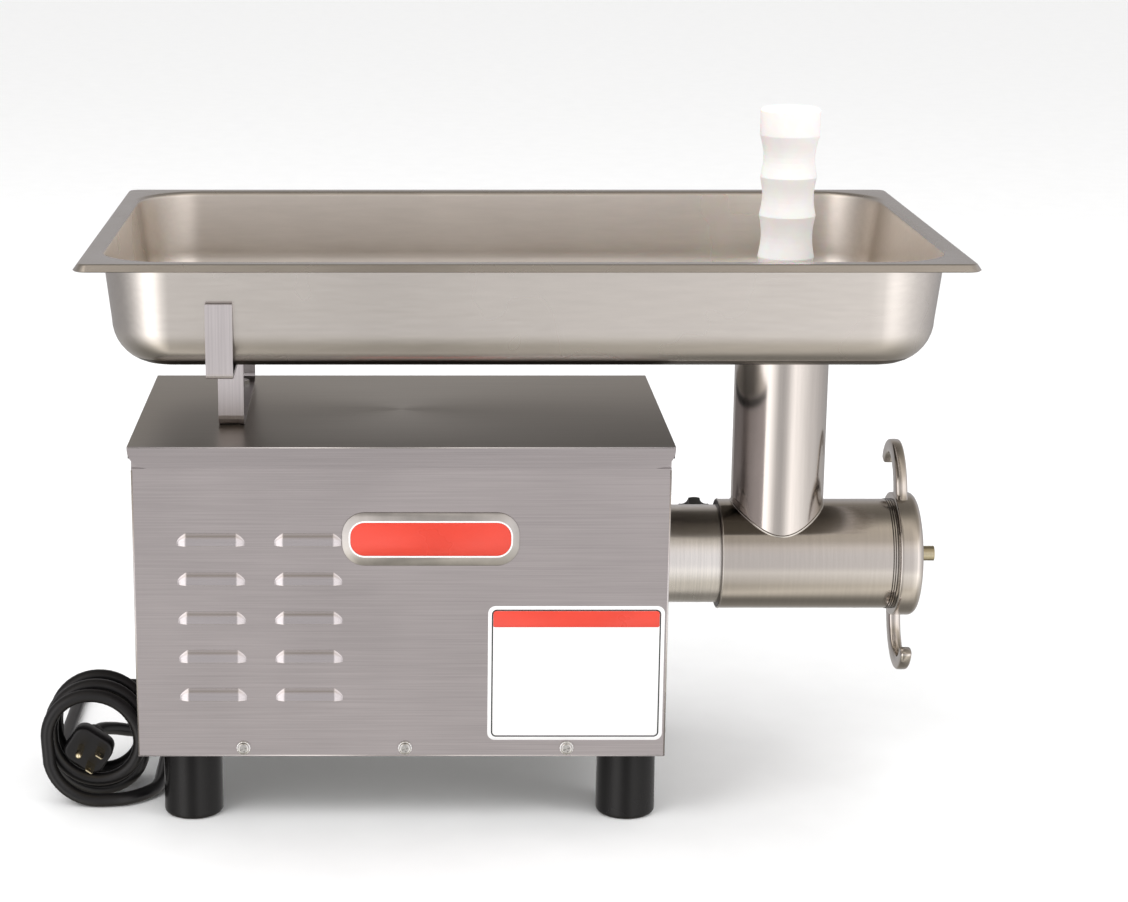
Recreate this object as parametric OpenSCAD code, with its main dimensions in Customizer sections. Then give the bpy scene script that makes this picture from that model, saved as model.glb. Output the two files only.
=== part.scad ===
// Electric meat grinder with a No. 12 grinding head, a sheet-steel housing and a lift-off tray.
// Origin: middle of the footprint on the bench. +X points out of the grinding head,
// +Y to the rear of the housing and +Z up. All lengths are in millimetres.

/* [Housing] */
// Length of the housing, without the cover's overhang
housing_l = 350; // [330:1:360]
// Depth of the housing, front face to back face
housing_w = 217; // [210:1:230]
// Height from the bench to the underside of the housing
base_z = 49.5; // [45:0.5:55]
// Height from the bench to the top of the cover
cover_z = 261.5; // [255:0.5:270]
// Thickness of the housing sheet
sheet_t = 1.2; // [1:0.1:2]
// How far the cover overhangs each end of the housing
cover_overhang = 2.5; // [1:0.5:4]
// Height of the cover's front and back flanges
cover_flange_h = 14.3; // [12:0.1:18]

/* [Louvres] */
// Length of the straight part of one louvre
louvre_l = 33; // [25:1:36]
// Height of one louvre
louvre_h = 8.4; // [6:0.2:10]
// How far a louvre stands out of the sheet
louvre_out = 2.4; // [2:0.1:6]
// Vertical spacing of the louvres
louvre_pitch = 26.6; // [20:0.2:30]
// Number of louvres in a column
louvre_rows = 5; // [2:1:5]

/* [Feet] */
// Diameter of a foot at the bench
foot_d = 40; // [34:1:44]

/* [Grinding head] */
// Height of the head's axis above the bench
axis_z = 158.5; // [155:0.5:162]
// Outside diameter of the barrel
barrel_d = 76; // [76:0.5:77]
// Bore of the barrel round the auger
barrel_bore_d = 62; // [60:0.5:64]
// Outside diameter of the feed tube
feed_d = 63.5; // [62:0.5:66]
// Inside diameter of the feed tube
feed_bore_d = 58.5; // [58.5:0.5:60]
// Diameter of the hole plate
plate_d = 70; // [69:0.5:70]
// Thickness of the hole plate
plate_t = 9; // [7:0.5:10]
// Diameter of each hole in the plate
plate_hole_d = 4.8; // [3:0.2:5]
// Outside diameter of the ring nut
ring_d = 85.6; // [84:0.2:90]
// Opening in the front of the ring nut
ring_open_d = 62; // [56:0.5:63]
// Axial distance between two turns of the auger's flight
auger_pitch = 34; // [28:1:44]

/* [Tray] */
// Length of the tray over the flat of its rim
tray_l = 554; // [540:1:570]
// Width of the tray over the flat of its rim
tray_w = 322; // [310:1:330]
// Height of the tray's rim above the bench
tray_z = 390; // [385:1:400]
// Depth of the tray
tray_depth = 71.5; // [68:0.5:76]
// Width of the flat rim
rim_w = 10; // [8:0.5:13]
// Corner radius of the tray's walls
tray_corner_r = 45; // [38:1:50]
// Radius between the tray's walls and its floor
tray_floor_r = 28; // [20:1:30]

/* [Pusher] */
// Largest diameter of the pusher
pusher_d = 40; // [36:1:46]
// Length of the pusher
pusher_l = 277.5; // [260:0.5:300]

/* [Gear train] */
// Gear module of both stages
gear_m = 1.5; // [1.5:0.1:1.5]
// Teeth on each driving pinion
pinion_teeth = 16; // [16:1:16]
// Teeth on each driven gear
gear_teeth = 50; // [50:1:50]

/* [Cord] */
// Diameter of the mains cord
cord_d = 9; // [8:0.5:10]

/* [Hidden] */
$fn = 64;

eps = 0.01;

// ---- housing ----
housing_x1 = 91;
housing_x0 = housing_x1 - housing_l;
half_w = housing_w / 2;
inner_w = half_w - sheet_t;
sheet_top = cover_z - sheet_t;
base_t = 2.5;
base_top = base_z + base_t;
base_flange_h = 14;
base_flange_t = 2;
side_flange = 12;
side_flange_z = base_top + base_flange_h + 2;
seal_t = 2.2;
seal_h = 7;

screw_z = 55.5;
side_screw_z = 60;
side_screw_y = 85;
screw_xs = [-189, -81.6, 25.8];
screw_shank_d = 4.2;
screw_hole_d = 4.6;
screw_head_d = 8;
screw_head_h = 2.6;
screw_l = 12;

louvre_xs = [-208.3, -144.8];
louvre_top_z = 203.9;
louvre_t = 0.9;

badge_c = [-64.8, 199.8];
badge_size = [116, 36];
badge_t = 1;
caution_c = [31, 107.6];
caution_size = [116, 93];
caution_t = 0.4;

// ---- feet ----
foot_xs = [-225, 68];
foot_y = 79;
foot_bolt_d = 8;
foot_recess_d = 22;
foot_recess_h = 14;

// ---- tray bracket ----
strap_w = 17;
strap_t = 3;
strap_x = -197.5;
strap_bend = 6;
tab_bend = 2.5;
strap_front_y = -49;
strap_rear_y = 82;
tab_y = 150;
tab_top_z = 363;
fit_gap = 0.3;
tray_floor_z = tray_z - tray_depth;
ledge_z = tray_floor_z - fit_gap - strap_t / 2;
bracket_bolt_ys = [-14, 62];
bracket_head_h = 4;
bracket_nut_h = 4;
bracket_shank = 7;

// ---- tray ----
tray_t = 1;
tray_cx = -6.5;
pusher_z = 190.5;
rim_lip = 4.2;
rim_flare = 3;
rim_corner_r = 6;
wall_lean = tan(6.5);
spout_d = 57.9;
spout_bore_d = 54.9;
spout_l = 24;

// ---- grinding head ----
feed_x = 176;
barrel_x0 = 135;
plate_x1 = 266.3;
plate_x0 = plate_x1 - plate_t;
barrel_x1 = plate_x1 - 2.8;
plate_seat_d = plate_d + 0.3;
knife_t = 8;
knife_x0 = plate_x0 - knife_t - 0.1;
spigot_d = 60;
spigot_x0 = 118;
shank_bore_d = 30;
chamber_x0 = barrel_x0 + 4;
washer_t = 2;
auger_x0 = chamber_x0 + washer_t;
auger_x1 = knife_x0 - 0.1;
auger_r = 30.3;
auger_core_r = 12;
flight_t = 7;
stud_x1 = 286.5;
stud_d = 10.4;
knife_square = 13;
key_d = 4;

ring_x0 = 253;
ring_x1 = 272;
ring_bore_d = barrel_d + 0.2;
ring_edge_r = 5;
horn_x0 = 256;
horn_x1 = 263.5;

// ---- drive neck ----
neck_d = 68;
neck_bore_d = spigot_d + 0.2;
neck_x0 = 80;
neck_flange_d = 104;
neck_flange_t = 8;
neck_bolt_r = 44;
lock_x = 125;
lock_angle = 13;
lock_boss_d = 18;
lock_stud_d = 8;
lock_knob_d = 26;

// ---- gearbox ----
gear_centre = gear_m * (pinion_teeth + gear_teeth) / 2;
lay_z = axis_z - gear_centre;
case_x0 = 26;
case_x1 = neck_x0;
case_wall = 8;
case_r = 48;
case_skin = 5;
cover_x1 = case_x0 + case_wall;
stage1_x0 = 37;
stage2_x0 = 53;
stage1_w = 12;
stage2_w = 16;
shaft_d = 25;
lay_d = 10;
bearing_gap = 0.05;
bearing_w = 15;
bearing_od = 52;
lay_bearing_od = 26;
lay_bearing_w = 8;
seal_w = 7;
tang = 12;
backlash = 0.16;
pressure_angle = 20;
flank_steps = 3;

// ---- motor ----
motor_r = 74;
motor_t = 2;
motor_x0 = -150;
motor_x1 = 18;
bell_t = 8;
stator_x0 = -105;
stator_x1 = -15;
stator_bore_r = 42;
rotor_r = 41.5;
motor_shaft_d = 17;
motor_bearing_od = 40;
motor_bearing_w = 12;
motor_bolt_r = 69;
motor_bolt_d = 5;
fan_x0 = -176;
fan_w = 13;
cradle_xs = [-130, -30];
cradle_l = 20;
cradle_w = 96;

// ---- electrics ----
cap_d = 40;
cap_h = 75;
cap_x = -225;
cap_y = -15;
switch_y = 20;
switch_z = 212;
switch_pivot_x = housing_x0 + 1;
switch_rest = -10;
switch_pin_d = 3;
switch_pin_l = 18.8;
gland_x = -200;
gland_z = 79;
gland_y1 = half_w + 22.5;

// ---- cord ----
floor_z = cord_d / 2 + 0.1;
cord_sides = 10;
lead_route = [
    [-200, 131, 79], [-200, 147, 78], [-203, 163, 73], [-211, 176, 62], [-224, 182, 48],
    [-237, 176, 34], [-246, 162, 22], [-251, 144, 12], [-252, 124, 6], [-252, 104, floor_z],
    [-252, 60, floor_z], [-252, 20, floor_z], [-252, -16, floor_z], [-252, -38, floor_z],
    [-254.5, -52, floor_z], [-262.5, -63.5, floor_z], [-274, -71.5, floor_z], [-288, -74, floor_z]
];
tail_route = [
    [-292.5, -17, floor_z], [-306.5, -14, floor_z], [-318.5, -6.5, floor_z], [-326, 5.5, floor_z],
    [-329, 19.5, floor_z], [-329, 45, floor_z], [-329, 80, floor_z], [-329, 110, floor_z],
    [-329, 131, floor_z], [-324.5, 148, floor_z], [-312.5, 160, floor_z], [-295.5, 164.5, floor_z],
    [-278.5, 160, floor_z], [-266.5, 148, floor_z], [-262, 131, floor_z], [-262, 105, floor_z],
    [-262, 80, 5.2], [-264, 54, 9], [-269, 34, 15], [-277, 16, 22], [-287, -2, 30],
    [-294.5, -18, 35.5], [-298, -30, 37]
];
route_steps = 2;
hank_x = -292;
hank_turn_r = 28;
hank_straight = 20;
hank_y0 = -79;
hank_y1 = -12;
plug_c = [-298, -66, 37];
plug_body_l = 36;
plug_turn = 34;

// ================= helpers =================

// Places children, drawn along +Z, on the head's axis pointing along +X
module on_axis(x = 0, z = axis_z) {
    translate([x, 0, z]) rotate([90, 0, 90]) children();
}

// A straight tube or disc along X on the head's axis
module x_tube(x0, x1, d, bore = 0, z = axis_z) {
    on_axis(x0, z) difference() {
        cylinder(d = d, h = x1 - x0);
        if (bore > 0) translate([0, 0, -1]) cylinder(d = bore, h = x1 - x0 + 2);
    }
}

module rounded_rect(size, r) {
    square([size[0] - 2 * r, size[1]], center = true);
    square([size[0], size[1] - 2 * r], center = true);
    for (sx = [-1, 1], sy = [-1, 1])
        translate([sx * (size[0] / 2 - r), sy * (size[1] / 2 - r)]) circle(r = r);
}

// Plate in the X-Z plane, its face at y and its thickness towards -Y
module face_plate(centre, y, t) {
    translate([centre[0], y, centre[1]]) rotate([90, 0, 0]) linear_extrude(t) children();
}

// Arc of points about a centre
function arc(c, r, a0, a1, n) =
    [for (i = [0:n]) let (a = a0 + (a1 - a0) * i / n) [c[0] + r * cos(a), c[1] + r * sin(a)]];

// Offsets of a polyline to one side, with mitred corners
function unit(v) = v / norm(v);
function side_of(p, i, d) =
    let (
        a = unit(p[min(i + 1, len(p) - 1)] - p[min(i, len(p) - 2)]),
        b = unit(p[max(i, 1)] - p[max(i - 1, 0)]),
        m = unit(a + b),
        s = d / (m * b)
    ) [p[i][0] - m[1] * s, p[i][1] + m[0] * s];
function ribbon(p, t) = concat(
    [for (i = [0:len(p) - 1]) side_of(p, i, t / 2)],
    [for (i = [len(p) - 1:-1:0]) side_of(p, i, -t / 2)]
);

// Corner of a polyline rounded with radius r, as points
function bend(a, b, c, r, n = 4) =
    let (
        u = unit(a - b), v = unit(c - b),
        half = acos(u * v) / 2,
        cut = r / tan(half),
        centre = b + unit(u + v) * r / sin(half),
        p0 = b + u * cut - centre, p1 = b + v * cut - centre,
        a0 = atan2(p0[1], p0[0]), a1 = atan2(p1[1], p1[0]),
        turn = a1 - a0 > 180 ? a1 - a0 - 360 : a1 - a0 < -180 ? a1 - a0 + 360 : a1 - a0
    ) arc(centre, r, a0, a0 + turn, n);

// Smooth curve through a route's points
function smooth_at(p, i, t) =
    let (
        a = p[max(i - 1, 0)], b = p[i], c = p[i + 1], d = p[min(i + 2, len(p) - 1)]
    ) 0.5 * (2 * b + (c - a) * t + (2 * a - 5 * b + 4 * c - d) * t * t
        + (3 * b - a - 3 * c + d) * t * t * t);
function smooth(p, n) = concat(
    [for (i = [0:len(p) - 2], k = [0:n - 1]) smooth_at(p, i, k / n)],
    [p[len(p) - 1]]
);

// Round tube swept along a route
module swept_tube(route, d, sides) {
    n = len(route);
    dirs = [for (i = [0:n - 1]) unit(route[min(i + 1, n - 1)] - route[max(i - 1, 0)])];
    ups = [for (t = dirs) unit(cross(cross(t, [0.1, 0.05, 1]), t))];
    points = [
        for (i = [0:n - 1], k = [0:sides - 1])
            let (a = 360 * k / sides + 180 / sides, s = cross(ups[i], dirs[i]))
            route[i] + (s * cos(a) + ups[i] * sin(a)) * d / 2
    ];
    walls = [
        for (i = [0:n - 2], k = [0:sides - 1])
            let (j = (k + 1) % sides)
            [i * sides + k, i * sides + j, (i + 1) * sides + j, (i + 1) * sides + k]
    ];
    first = [for (k = [sides - 1:-1:0]) k];
    last = [for (k = [0:sides - 1]) (n - 1) * sides + k];
    polyhedron(points, concat([first], walls, [last]), convexity = 10);
}

// Involute gear outline; a tooth points along +X
function inv(a) = tan(a) * 180 / PI - a;
function tooth_half(z, r) =
    let (rp = gear_m * z / 2, rb = rp * cos(pressure_angle))
    90 / z - backlash / 4 / rp * 180 / PI + inv(pressure_angle) - inv(acos(min(1, rb / max(r, rb))));
function tooth_radii(z) =
    let (rp = gear_m * z / 2, rb = rp * cos(pressure_angle), root = rp - 1.25 * gear_m,
        tip = rp + 0.9 * gear_m, low = max(rb, root))
    concat(root < rb ? [root] : [], [for (i = [0:flank_steps]) low + (tip - low) * i / flank_steps]);
module gear_outline(z, turn) {
    radii = tooth_radii(z);
    n = len(radii);
    polygon([
        for (k = [0:z - 1], j = [0:2 * n - 1])
            let (up = j < n, r = radii[up ? j : 2 * n - 1 - j],
                a = turn + 360 * k / z + (up ? -1 : 1) * tooth_half(z, r))
            [r * cos(a), r * sin(a)]
    ]);
}

// ================= housing =================

module base_pan() {
    flange_y = inner_w - base_flange_t;
    x0 = housing_x0 + sheet_t;
    x1 = housing_x1 - sheet_t;
    color("silver") difference() {
        union() {
            translate([x0, -inner_w, base_z]) cube([x1 - x0, 2 * inner_w, base_t]);
            for (y = [-inner_w, flange_y])
                translate([x0, y, base_top - eps]) cube([x1 - x0, base_flange_t, base_flange_h]);
            for (x = [x0, x1 - base_flange_t])
                translate([x, -inner_w, base_top - eps])
                    cube([base_flange_t, 2 * inner_w, base_flange_h]);
        }
        screw_places() translate([0, 0, -screw_l - 1]) cylinder(d = screw_hole_d, h = 2 * screw_l, $fn = 24);
        foot_places() cylinder(d = foot_bolt_d + 0.6, h = 200, $fn = 32);
        translate([cap_x, cap_y, base_z - 1]) cylinder(d = 8.6, h = 10, $fn = 32);
    }
}

// One raised louvre: it leaves the sheet in a soft bend and is open along its lower edge
module louvre_profile(t) {
    ease = [[0, 0], [0.12, -0.8], [0.5, -1.7], [1.2, -2.8]];
    polygon(concat(ease, [[louvre_out, -louvre_h], [louvre_out - t, -louvre_h], [0, -t - 2.4]]));
}
module louvre() {
    for (s = [0, 1]) mirror([s, 0, 0])
        translate([louvre_l / 2, 0, 0]) rotate([0, 0, -90])
            rotate_extrude(angle = 90) louvre_profile(louvre_t);
    translate([-louvre_l / 2, 0, 0]) rotate([90, 0, 90]) mirror([1, 0, 0])
        linear_extrude(louvre_l) louvre_profile(louvre_t);
}
module louvre_places() {
    for (x = louvre_xs, i = [0:louvre_rows - 1])
        translate([x, 0, louvre_top_z - i * louvre_pitch]) children();
}
module louvred_sheet() {
    panel_top = cover_z - cover_flange_h;
    difference() {
        union() {
            translate([housing_x0, -half_w, base_z]) cube([housing_l, sheet_t, panel_top - base_z]);
            translate([housing_x0 + side_flange + 1, -inner_w, panel_top - 10])
                cube([housing_l - 2 * side_flange - 2, sheet_t, sheet_top - panel_top + 10]);
        }
        louvre_places()
            translate([-louvre_l / 2, -half_w - 1, -louvre_h])
                cube([louvre_l, sheet_t + 2, louvre_h - 2.4]);
        for (x = screw_xs) translate([x, -half_w - 1, screw_z]) rotate([-90, 0, 0])
            cylinder(d = screw_hole_d, h = 4, $fn = 24);
    }
    louvre_places() translate([0, -half_w + eps, 0]) louvre();
}
module front_panel() {
    color([0.66, 0.63, 0.62]) louvred_sheet();
}
module back_panel() {
    color([0.66, 0.63, 0.62]) difference() {
        mirror([0, 1, 0]) louvred_sheet();
        translate([gland_x, half_w + 1, gland_z]) rotate([90, 0, 0]) cylinder(d = 16.4, h = 6, $fn = 48);
    }
}

// Side panel with its two folded corner flanges; x is its outer face and s points inwards
module side_sheet(x, s) {
    inner = s > 0 ? x : x - sheet_t;
    flange_x = s > 0 ? x + sheet_t - eps : x - sheet_t - side_flange + eps;
    translate([inner, -inner_w, base_z]) cube([sheet_t, 2 * inner_w, sheet_top - base_z]);
    for (y = [-inner_w, inner_w - sheet_t])
        translate([flange_x, y, side_flange_z]) cube([side_flange, sheet_t, sheet_top - side_flange_z]);
}
module side_holes(x) {
    for (y = [-side_screw_y, side_screw_y])
        translate([x, y, side_screw_z]) rotate([0, 90, 0])
            cylinder(d = screw_hole_d, h = 8, center = true, $fn = 24);
}
module left_panel() {
    color([0.62, 0.6, 0.58]) difference() {
        side_sheet(housing_x0, 1);
        side_holes(housing_x0);
        translate([housing_x0 - 1, switch_y - 10, switch_z - 15]) cube([4, 20, 30]);
    }
}
module right_panel() {
    color([0.62, 0.6, 0.58]) difference() {
        side_sheet(housing_x1, -1);
        side_holes(housing_x1);
        x_tube(housing_x1 - 5, housing_x1 + 5, neck_d + 2);
    }
}

// Outline of the cover's flange, with rounded lower corners
module cover_flange_outline() {
    x0 = housing_x0 - cover_overhang;
    x1 = housing_x1 + cover_overhang;
    r = cover_flange_h - 2;
    centre_z = cover_z - cover_flange_h + r;
    polygon(concat(
        [[x1, cover_z], [x0, cover_z]],
        arc([x0 + r, centre_z], r, 180, 270, 6),
        arc([x1 - r, centre_z], r, 270, 360, 6)
    ));
}
module top_cover() {
    color([0.5, 0.47, 0.43]) difference() {
        union() {
            translate([housing_x0 - cover_overhang, -half_w, sheet_top])
                cube([housing_l + 2 * cover_overhang, housing_w, sheet_t]);
            for (y = [-inner_w, half_w])
                translate([0, y, 0]) rotate([90, 0, 0]) linear_extrude(sheet_t) cover_flange_outline();
        }
        bracket_bolt_holes();
    }
}
module cover_seals() {
    color([0.05, 0.05, 0.05])
        for (x = [housing_x0 - seal_t, housing_x1])
            translate([x, -inner_w + 1, sheet_top - seal_h]) cube([seal_t, 2 * inner_w - 2, seal_h]);
}

// The ten housing screw positions, each with +Z pointing out of the sheet
module screw_places() {
    for (x = screw_xs, s = [-1, 1])
        translate([x, s * half_w, screw_z]) rotate([-90 * s, 0, 0]) children();
    for (y = [-side_screw_y, side_screw_y]) {
        translate([housing_x0, y, side_screw_z]) rotate([0, -90, 0]) children();
        translate([housing_x1, y, side_screw_z]) rotate([0, 90, 0]) children();
    }
}
module pan_head_screw(d, head_d, head_h, l) {
    difference() {
        union() {
            rotate_extrude($fn = 32) polygon(concat(
                [[0, 0], [head_d / 2, 0], [head_d / 2, head_h * 0.45]],
                arc([head_d / 2 - head_h * 0.55, head_h * 0.45], head_h * 0.55, 22, 90, 3),
                [[0, head_h]]
            ));
            translate([0, 0, -l]) cylinder(d = d, h = l + eps, $fn = 24);
        }
        for (a = [0, 90]) rotate([0, 0, a + 20])
            translate([-head_d * 0.3, -0.5, head_h - 1.2]) cube([head_d * 0.6, 1, 2]);
    }
}
module housing_screws() {
    color("gainsboro") screw_places() pan_head_screw(screw_shank_d, screw_head_d, screw_head_h, screw_l);
}

// Plain badge: a bowed metal plate with a raised plain field
module badge_plate() {
    bow = 4;
    half = badge_size[0] / 2;
    rise = badge_size[1] / 2;
    r = (half * half + bow * bow) / (2 * bow);
    module outline() {
        intersection() {
            rounded_rect(badge_size, 9);
            translate([0, rise - r]) circle(r = r, $fn = 200);
            translate([0, r - rise]) circle(r = r, $fn = 200);
        }
    }
    color([0.7, 0.7, 0.68]) face_plate(badge_c, -half_w, badge_t) outline();
    color([0.85, 0.2, 0.16]) face_plate(badge_c, -half_w - badge_t + eps, 0.5)
        rounded_rect([badge_size[0] - 9, badge_size[1] - 13], 8);
}
module caution_plate() {
    color("white") face_plate(caution_c, -half_w, caution_t) rounded_rect(caution_size, 6);
}

// ================= feet =================

module foot_places() {
    for (x = foot_xs, s = [-1, 1]) translate([x, s * foot_y, 0]) children();
}
module foot(x, y) {
    top_r = foot_d / 2 - 0.4;
    edge = 3;
    color([0.13, 0.12, 0.12]) translate([x, y, 0]) rotate_extrude() polygon(concat(
        [[foot_recess_d / 2, 0]],
        arc([foot_d / 2 - edge, edge], edge, -90, 0, 4),
        [[top_r, base_z], [foot_bolt_d / 2 + 0.3, base_z], [foot_bolt_d / 2 + 0.3, foot_recess_h],
            [foot_recess_d / 2, foot_recess_h]]
    ));
}
module foot_front_left() { foot(foot_xs[0], -foot_y); }
module foot_front_right() { foot(foot_xs[1], -foot_y); }
module foot_rear_left() { foot(foot_xs[0], foot_y); }
module foot_rear_right() { foot(foot_xs[1], foot_y); }

// Bolts through the feet into the base pan, each with its nut
module foot_bolts() {
    color("silver") foot_places() {
        translate([0, 0, foot_recess_h - 5]) cylinder(d = 15, h = 5, $fn = 6);
        translate([0, 0, foot_recess_h - eps])
            cylinder(d = foot_bolt_d, h = base_top + 10 - foot_recess_h, $fn = 32);
        translate([0, 0, base_top]) cylinder(d = 15, h = 6, $fn = 6);
    }
}

// ================= tray and its bracket =================

// The bracket is one bent strap: tab, ledge, riser, base, riser, ledge, tab
module tray_bracket() {
    base_mid = cover_z + strap_t / 2;
    corners = [
        [-tab_y, tab_top_z], [-tab_y, ledge_z], [strap_front_y, ledge_z], [strap_front_y, base_mid],
        [strap_rear_y, base_mid], [strap_rear_y, ledge_z], [tab_y, ledge_z], [tab_y, tab_top_z]
    ];
    path = concat(
        [corners[0]],
        [for (i = [1:6], p = bend(corners[i - 1], corners[i], corners[i + 1],
            i == 1 || i == 6 ? tab_bend : strap_bend)) p],
        [corners[7]]
    );
    color([0.72, 0.7, 0.68]) difference() {
        translate([strap_x - strap_w / 2, 0, 0]) rotate([90, 0, 90]) linear_extrude(strap_w)
            polygon(ribbon(path, strap_t));
        bracket_bolt_holes();
    }
}
// Hexagon bolts through the strap and the cover, each with a nut below the sheet
module bracket_bolts() {
    color("gainsboro") for (y = bracket_bolt_ys) translate([strap_x, y, 0]) {
        translate([0, 0, cover_z + strap_t]) cylinder(d = 11, h = bracket_head_h, $fn = 6);
        translate([0, 0, sheet_top - bracket_shank])
            cylinder(d = 6, h = cover_z + strap_t + eps - sheet_top + bracket_shank, $fn = 32);
        translate([0, 0, sheet_top - bracket_nut_h]) cylinder(d = 11, h = bracket_nut_h, $fn = 6);
    }
}
module bracket_bolt_holes() {
    for (y = bracket_bolt_ys) translate([strap_x, y, sheet_top - 1]) cylinder(d = 6.6, h = 12, $fn = 32);
}

// Body of the tray as a rounded trough; shrink it by a sheet thickness
module trough(shrink, top) {
    half_l = tray_l / 2 - rim_w - shrink;
    half_d = tray_w / 2 - rim_w - shrink;
    low_z = tray_floor_z + tray_floor_r;
    r = tray_corner_r - shrink;
    floor_r = tray_floor_r - shrink;
    lean = (tray_z - low_z) * wall_lean;
    grow = (top - tray_z) * wall_lean;
    hull() {
        for (sx = [-1, 1], sy = [-1, 1]) {
            translate([tray_cx + sx * (half_l - r + grow), sy * (half_d - r + grow), top - 1])
                cylinder(r = r, h = 1, $fn = 32);
            translate([tray_cx + sx * (half_l - r - lean), sy * (half_d - r - lean), low_z])
                rotate_extrude($fn = 32) translate([r - floor_r, 0]) intersection() {
                    circle(r = floor_r, $fn = 32);
                    translate([0, -floor_r]) square([floor_r, floor_r]);
                }
        }
    }
}
// Flat rim as a solid, its edge flaring out on the way down; shrink it by a sheet thickness
module rim_solid(shrink) {
    top = [tray_l - 2 * shrink, tray_w - 2 * shrink];
    edge = 0.1;
    translate([tray_cx, 0, 0]) hull() {
        translate([0, 0, tray_z - shrink - edge]) linear_extrude(edge)
            rounded_rect(top, rim_corner_r - shrink);
        translate([0, 0, tray_z - shrink - rim_lip]) linear_extrude(edge)
            rounded_rect(top + 2 * rim_flare * [1, 1], rim_corner_r + rim_flare - shrink);
    }
}
module tray() {
    color([0.74, 0.71, 0.68]) difference() {
        union() {
            trough(0, tray_z);
            difference() {
                rim_solid(0);
                rim_solid(tray_t);
            }
            translate([feed_x, 0, tray_floor_z - spout_l]) cylinder(d = spout_d, h = spout_l + tray_t);
        }
        trough(tray_t, tray_z + 1);
        translate([feed_x, 0, tray_floor_z - spout_l - 1]) cylinder(d = spout_bore_d, h = spout_l + 10);
    }
}

// Turned plastic pusher: three waists for the fingers and a dished top
module pusher() {
    top = pusher_z + pusher_l;
    r = pusher_d / 2;
    shaft_r = r - 3.5;
    ridge_r = r - 1;
    function waist(z0, z1, r0, r1, depth) =
        [for (i = [0:7]) let (t = i / 8) [r0 + (r1 - r0) * t - depth * sin(180 * t), z0 + (z1 - z0) * t]];
    color([0.95, 0.95, 0.93]) translate([feed_x, 0, 0]) rotate_extrude() polygon(concat(
        [[0, pusher_z], [shaft_r - 1.5, pusher_z], [shaft_r, pusher_z + 1.5], [shaft_r, top - 112]],
        waist(top - 100, top - 72, ridge_r, ridge_r, 1.8),
        waist(top - 72, top - 46, ridge_r, ridge_r, 1.8),
        waist(top - 46, top - 18, ridge_r, r, 2.3),
        [[r, top - 18], [r, top - 1.5], [r - 1.5, top], [r - 4, top], [r - 5.5, top - 3], [0, top - 3]]
    ));
}

// ================= drive neck and lock =================

module at_lock() {
    translate([lock_x, 0, axis_z]) rotate([lock_angle - 90, 0, 0]) children();
}
module drive_neck() {
    color([0.7, 0.68, 0.65]) difference() {
        union() {
            x_tube(neck_x0, barrel_x0, neck_d);
            x_tube(neck_x0, neck_x0 + neck_flange_t, neck_flange_d);
            at_lock() translate([0, 0, 20]) cylinder(d = lock_boss_d, h = 19, $fn = 48);
        }
        x_tube(neck_x0 - 1, spigot_x0 - 0.5, bearing_od);
        x_tube(spigot_x0 - 0.6, barrel_x0 + 1, neck_bore_d);
        at_lock() cylinder(d = lock_stud_d + 0.2, h = 60, $fn = 32);
        for (a = [45:90:315]) on_axis(neck_x0 - 1) rotate([0, 0, a]) translate([neck_bolt_r, 0, 0]) {
            cylinder(d = 6.4, h = 20, $fn = 32);
            translate([0, 0, 4]) cylinder(d = 11, h = 10, $fn = 32);
        }
    }
}
module neck_bolts() {
    color("dimgray") for (a = [45:90:315])
        on_axis(case_x1 - case_wall) rotate([0, 0, a]) translate([neck_bolt_r, 0, 0]) {
            cylinder(d = 6, h = case_wall + 3 + eps, $fn = 32);
            translate([0, 0, case_wall + 3]) difference() {
                cylinder(d = 10, h = 5, $fn = 32);
                translate([0, 0, 2.5]) cylinder(d = 5.8, h = 3, $fn = 6);
            }
        }
}
// Five-lobed knob on its threaded stud
module lock_knob() {
    color([0.08, 0.08, 0.08]) at_lock() translate([0, 0, 44]) difference() {
        union() {
            cylinder(d = 15, h = 4, $fn = 48);
            translate([0, 0, 4 - eps]) cylinder(d = lock_knob_d, h = 11, $fn = 64);
        }
        for (a = [18:72:306]) rotate([0, 0, a]) translate([lock_knob_d / 2 + 2.5, 0, 3])
            cylinder(r = 5, h = 14, $fn = 32);
        translate([0, 0, -1]) cylinder(d = lock_stud_d, h = 11, $fn = 32);
    }
}
module lock_stud() {
    color("silver") at_lock() translate([0, 0, spigot_d / 2 + 0.4])
        cylinder(d = lock_stud_d, h = 54 - spigot_d / 2 - 0.4, $fn = 32);
}

// ================= grinding head =================

module grinding_head() {
    color([0.72, 0.7, 0.66]) difference() {
        union() {
            x_tube(barrel_x0, barrel_x1, barrel_d);
            x_tube(spigot_x0, barrel_x0 + eps, spigot_d);
            translate([feed_x, 0, axis_z]) cylinder(d = feed_d, h = tray_floor_z - fit_gap - axis_z);
        }
        x_tube(chamber_x0, barrel_x1 + 1, barrel_bore_d);
        x_tube(plate_x0, barrel_x1 + 1, plate_seat_d);
        x_tube(spigot_x0 - 1, chamber_x0 + 1, shank_bore_d);
        translate([feed_x, 0, axis_z]) cylinder(d = feed_bore_d, h = 200);
        translate([plate_x0 + 1, 0, axis_z - plate_seat_d / 2]) rotate([0, 90, 0])
            cylinder(d = key_d + 0.1, h = 20, $fn = 24);
    }
}
module thrust_washer() {
    color([0.35, 0.2, 0.12]) x_tube(chamber_x0, chamber_x0 + washer_t - 0.1, 50, shank_bore_d);
}

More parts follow.
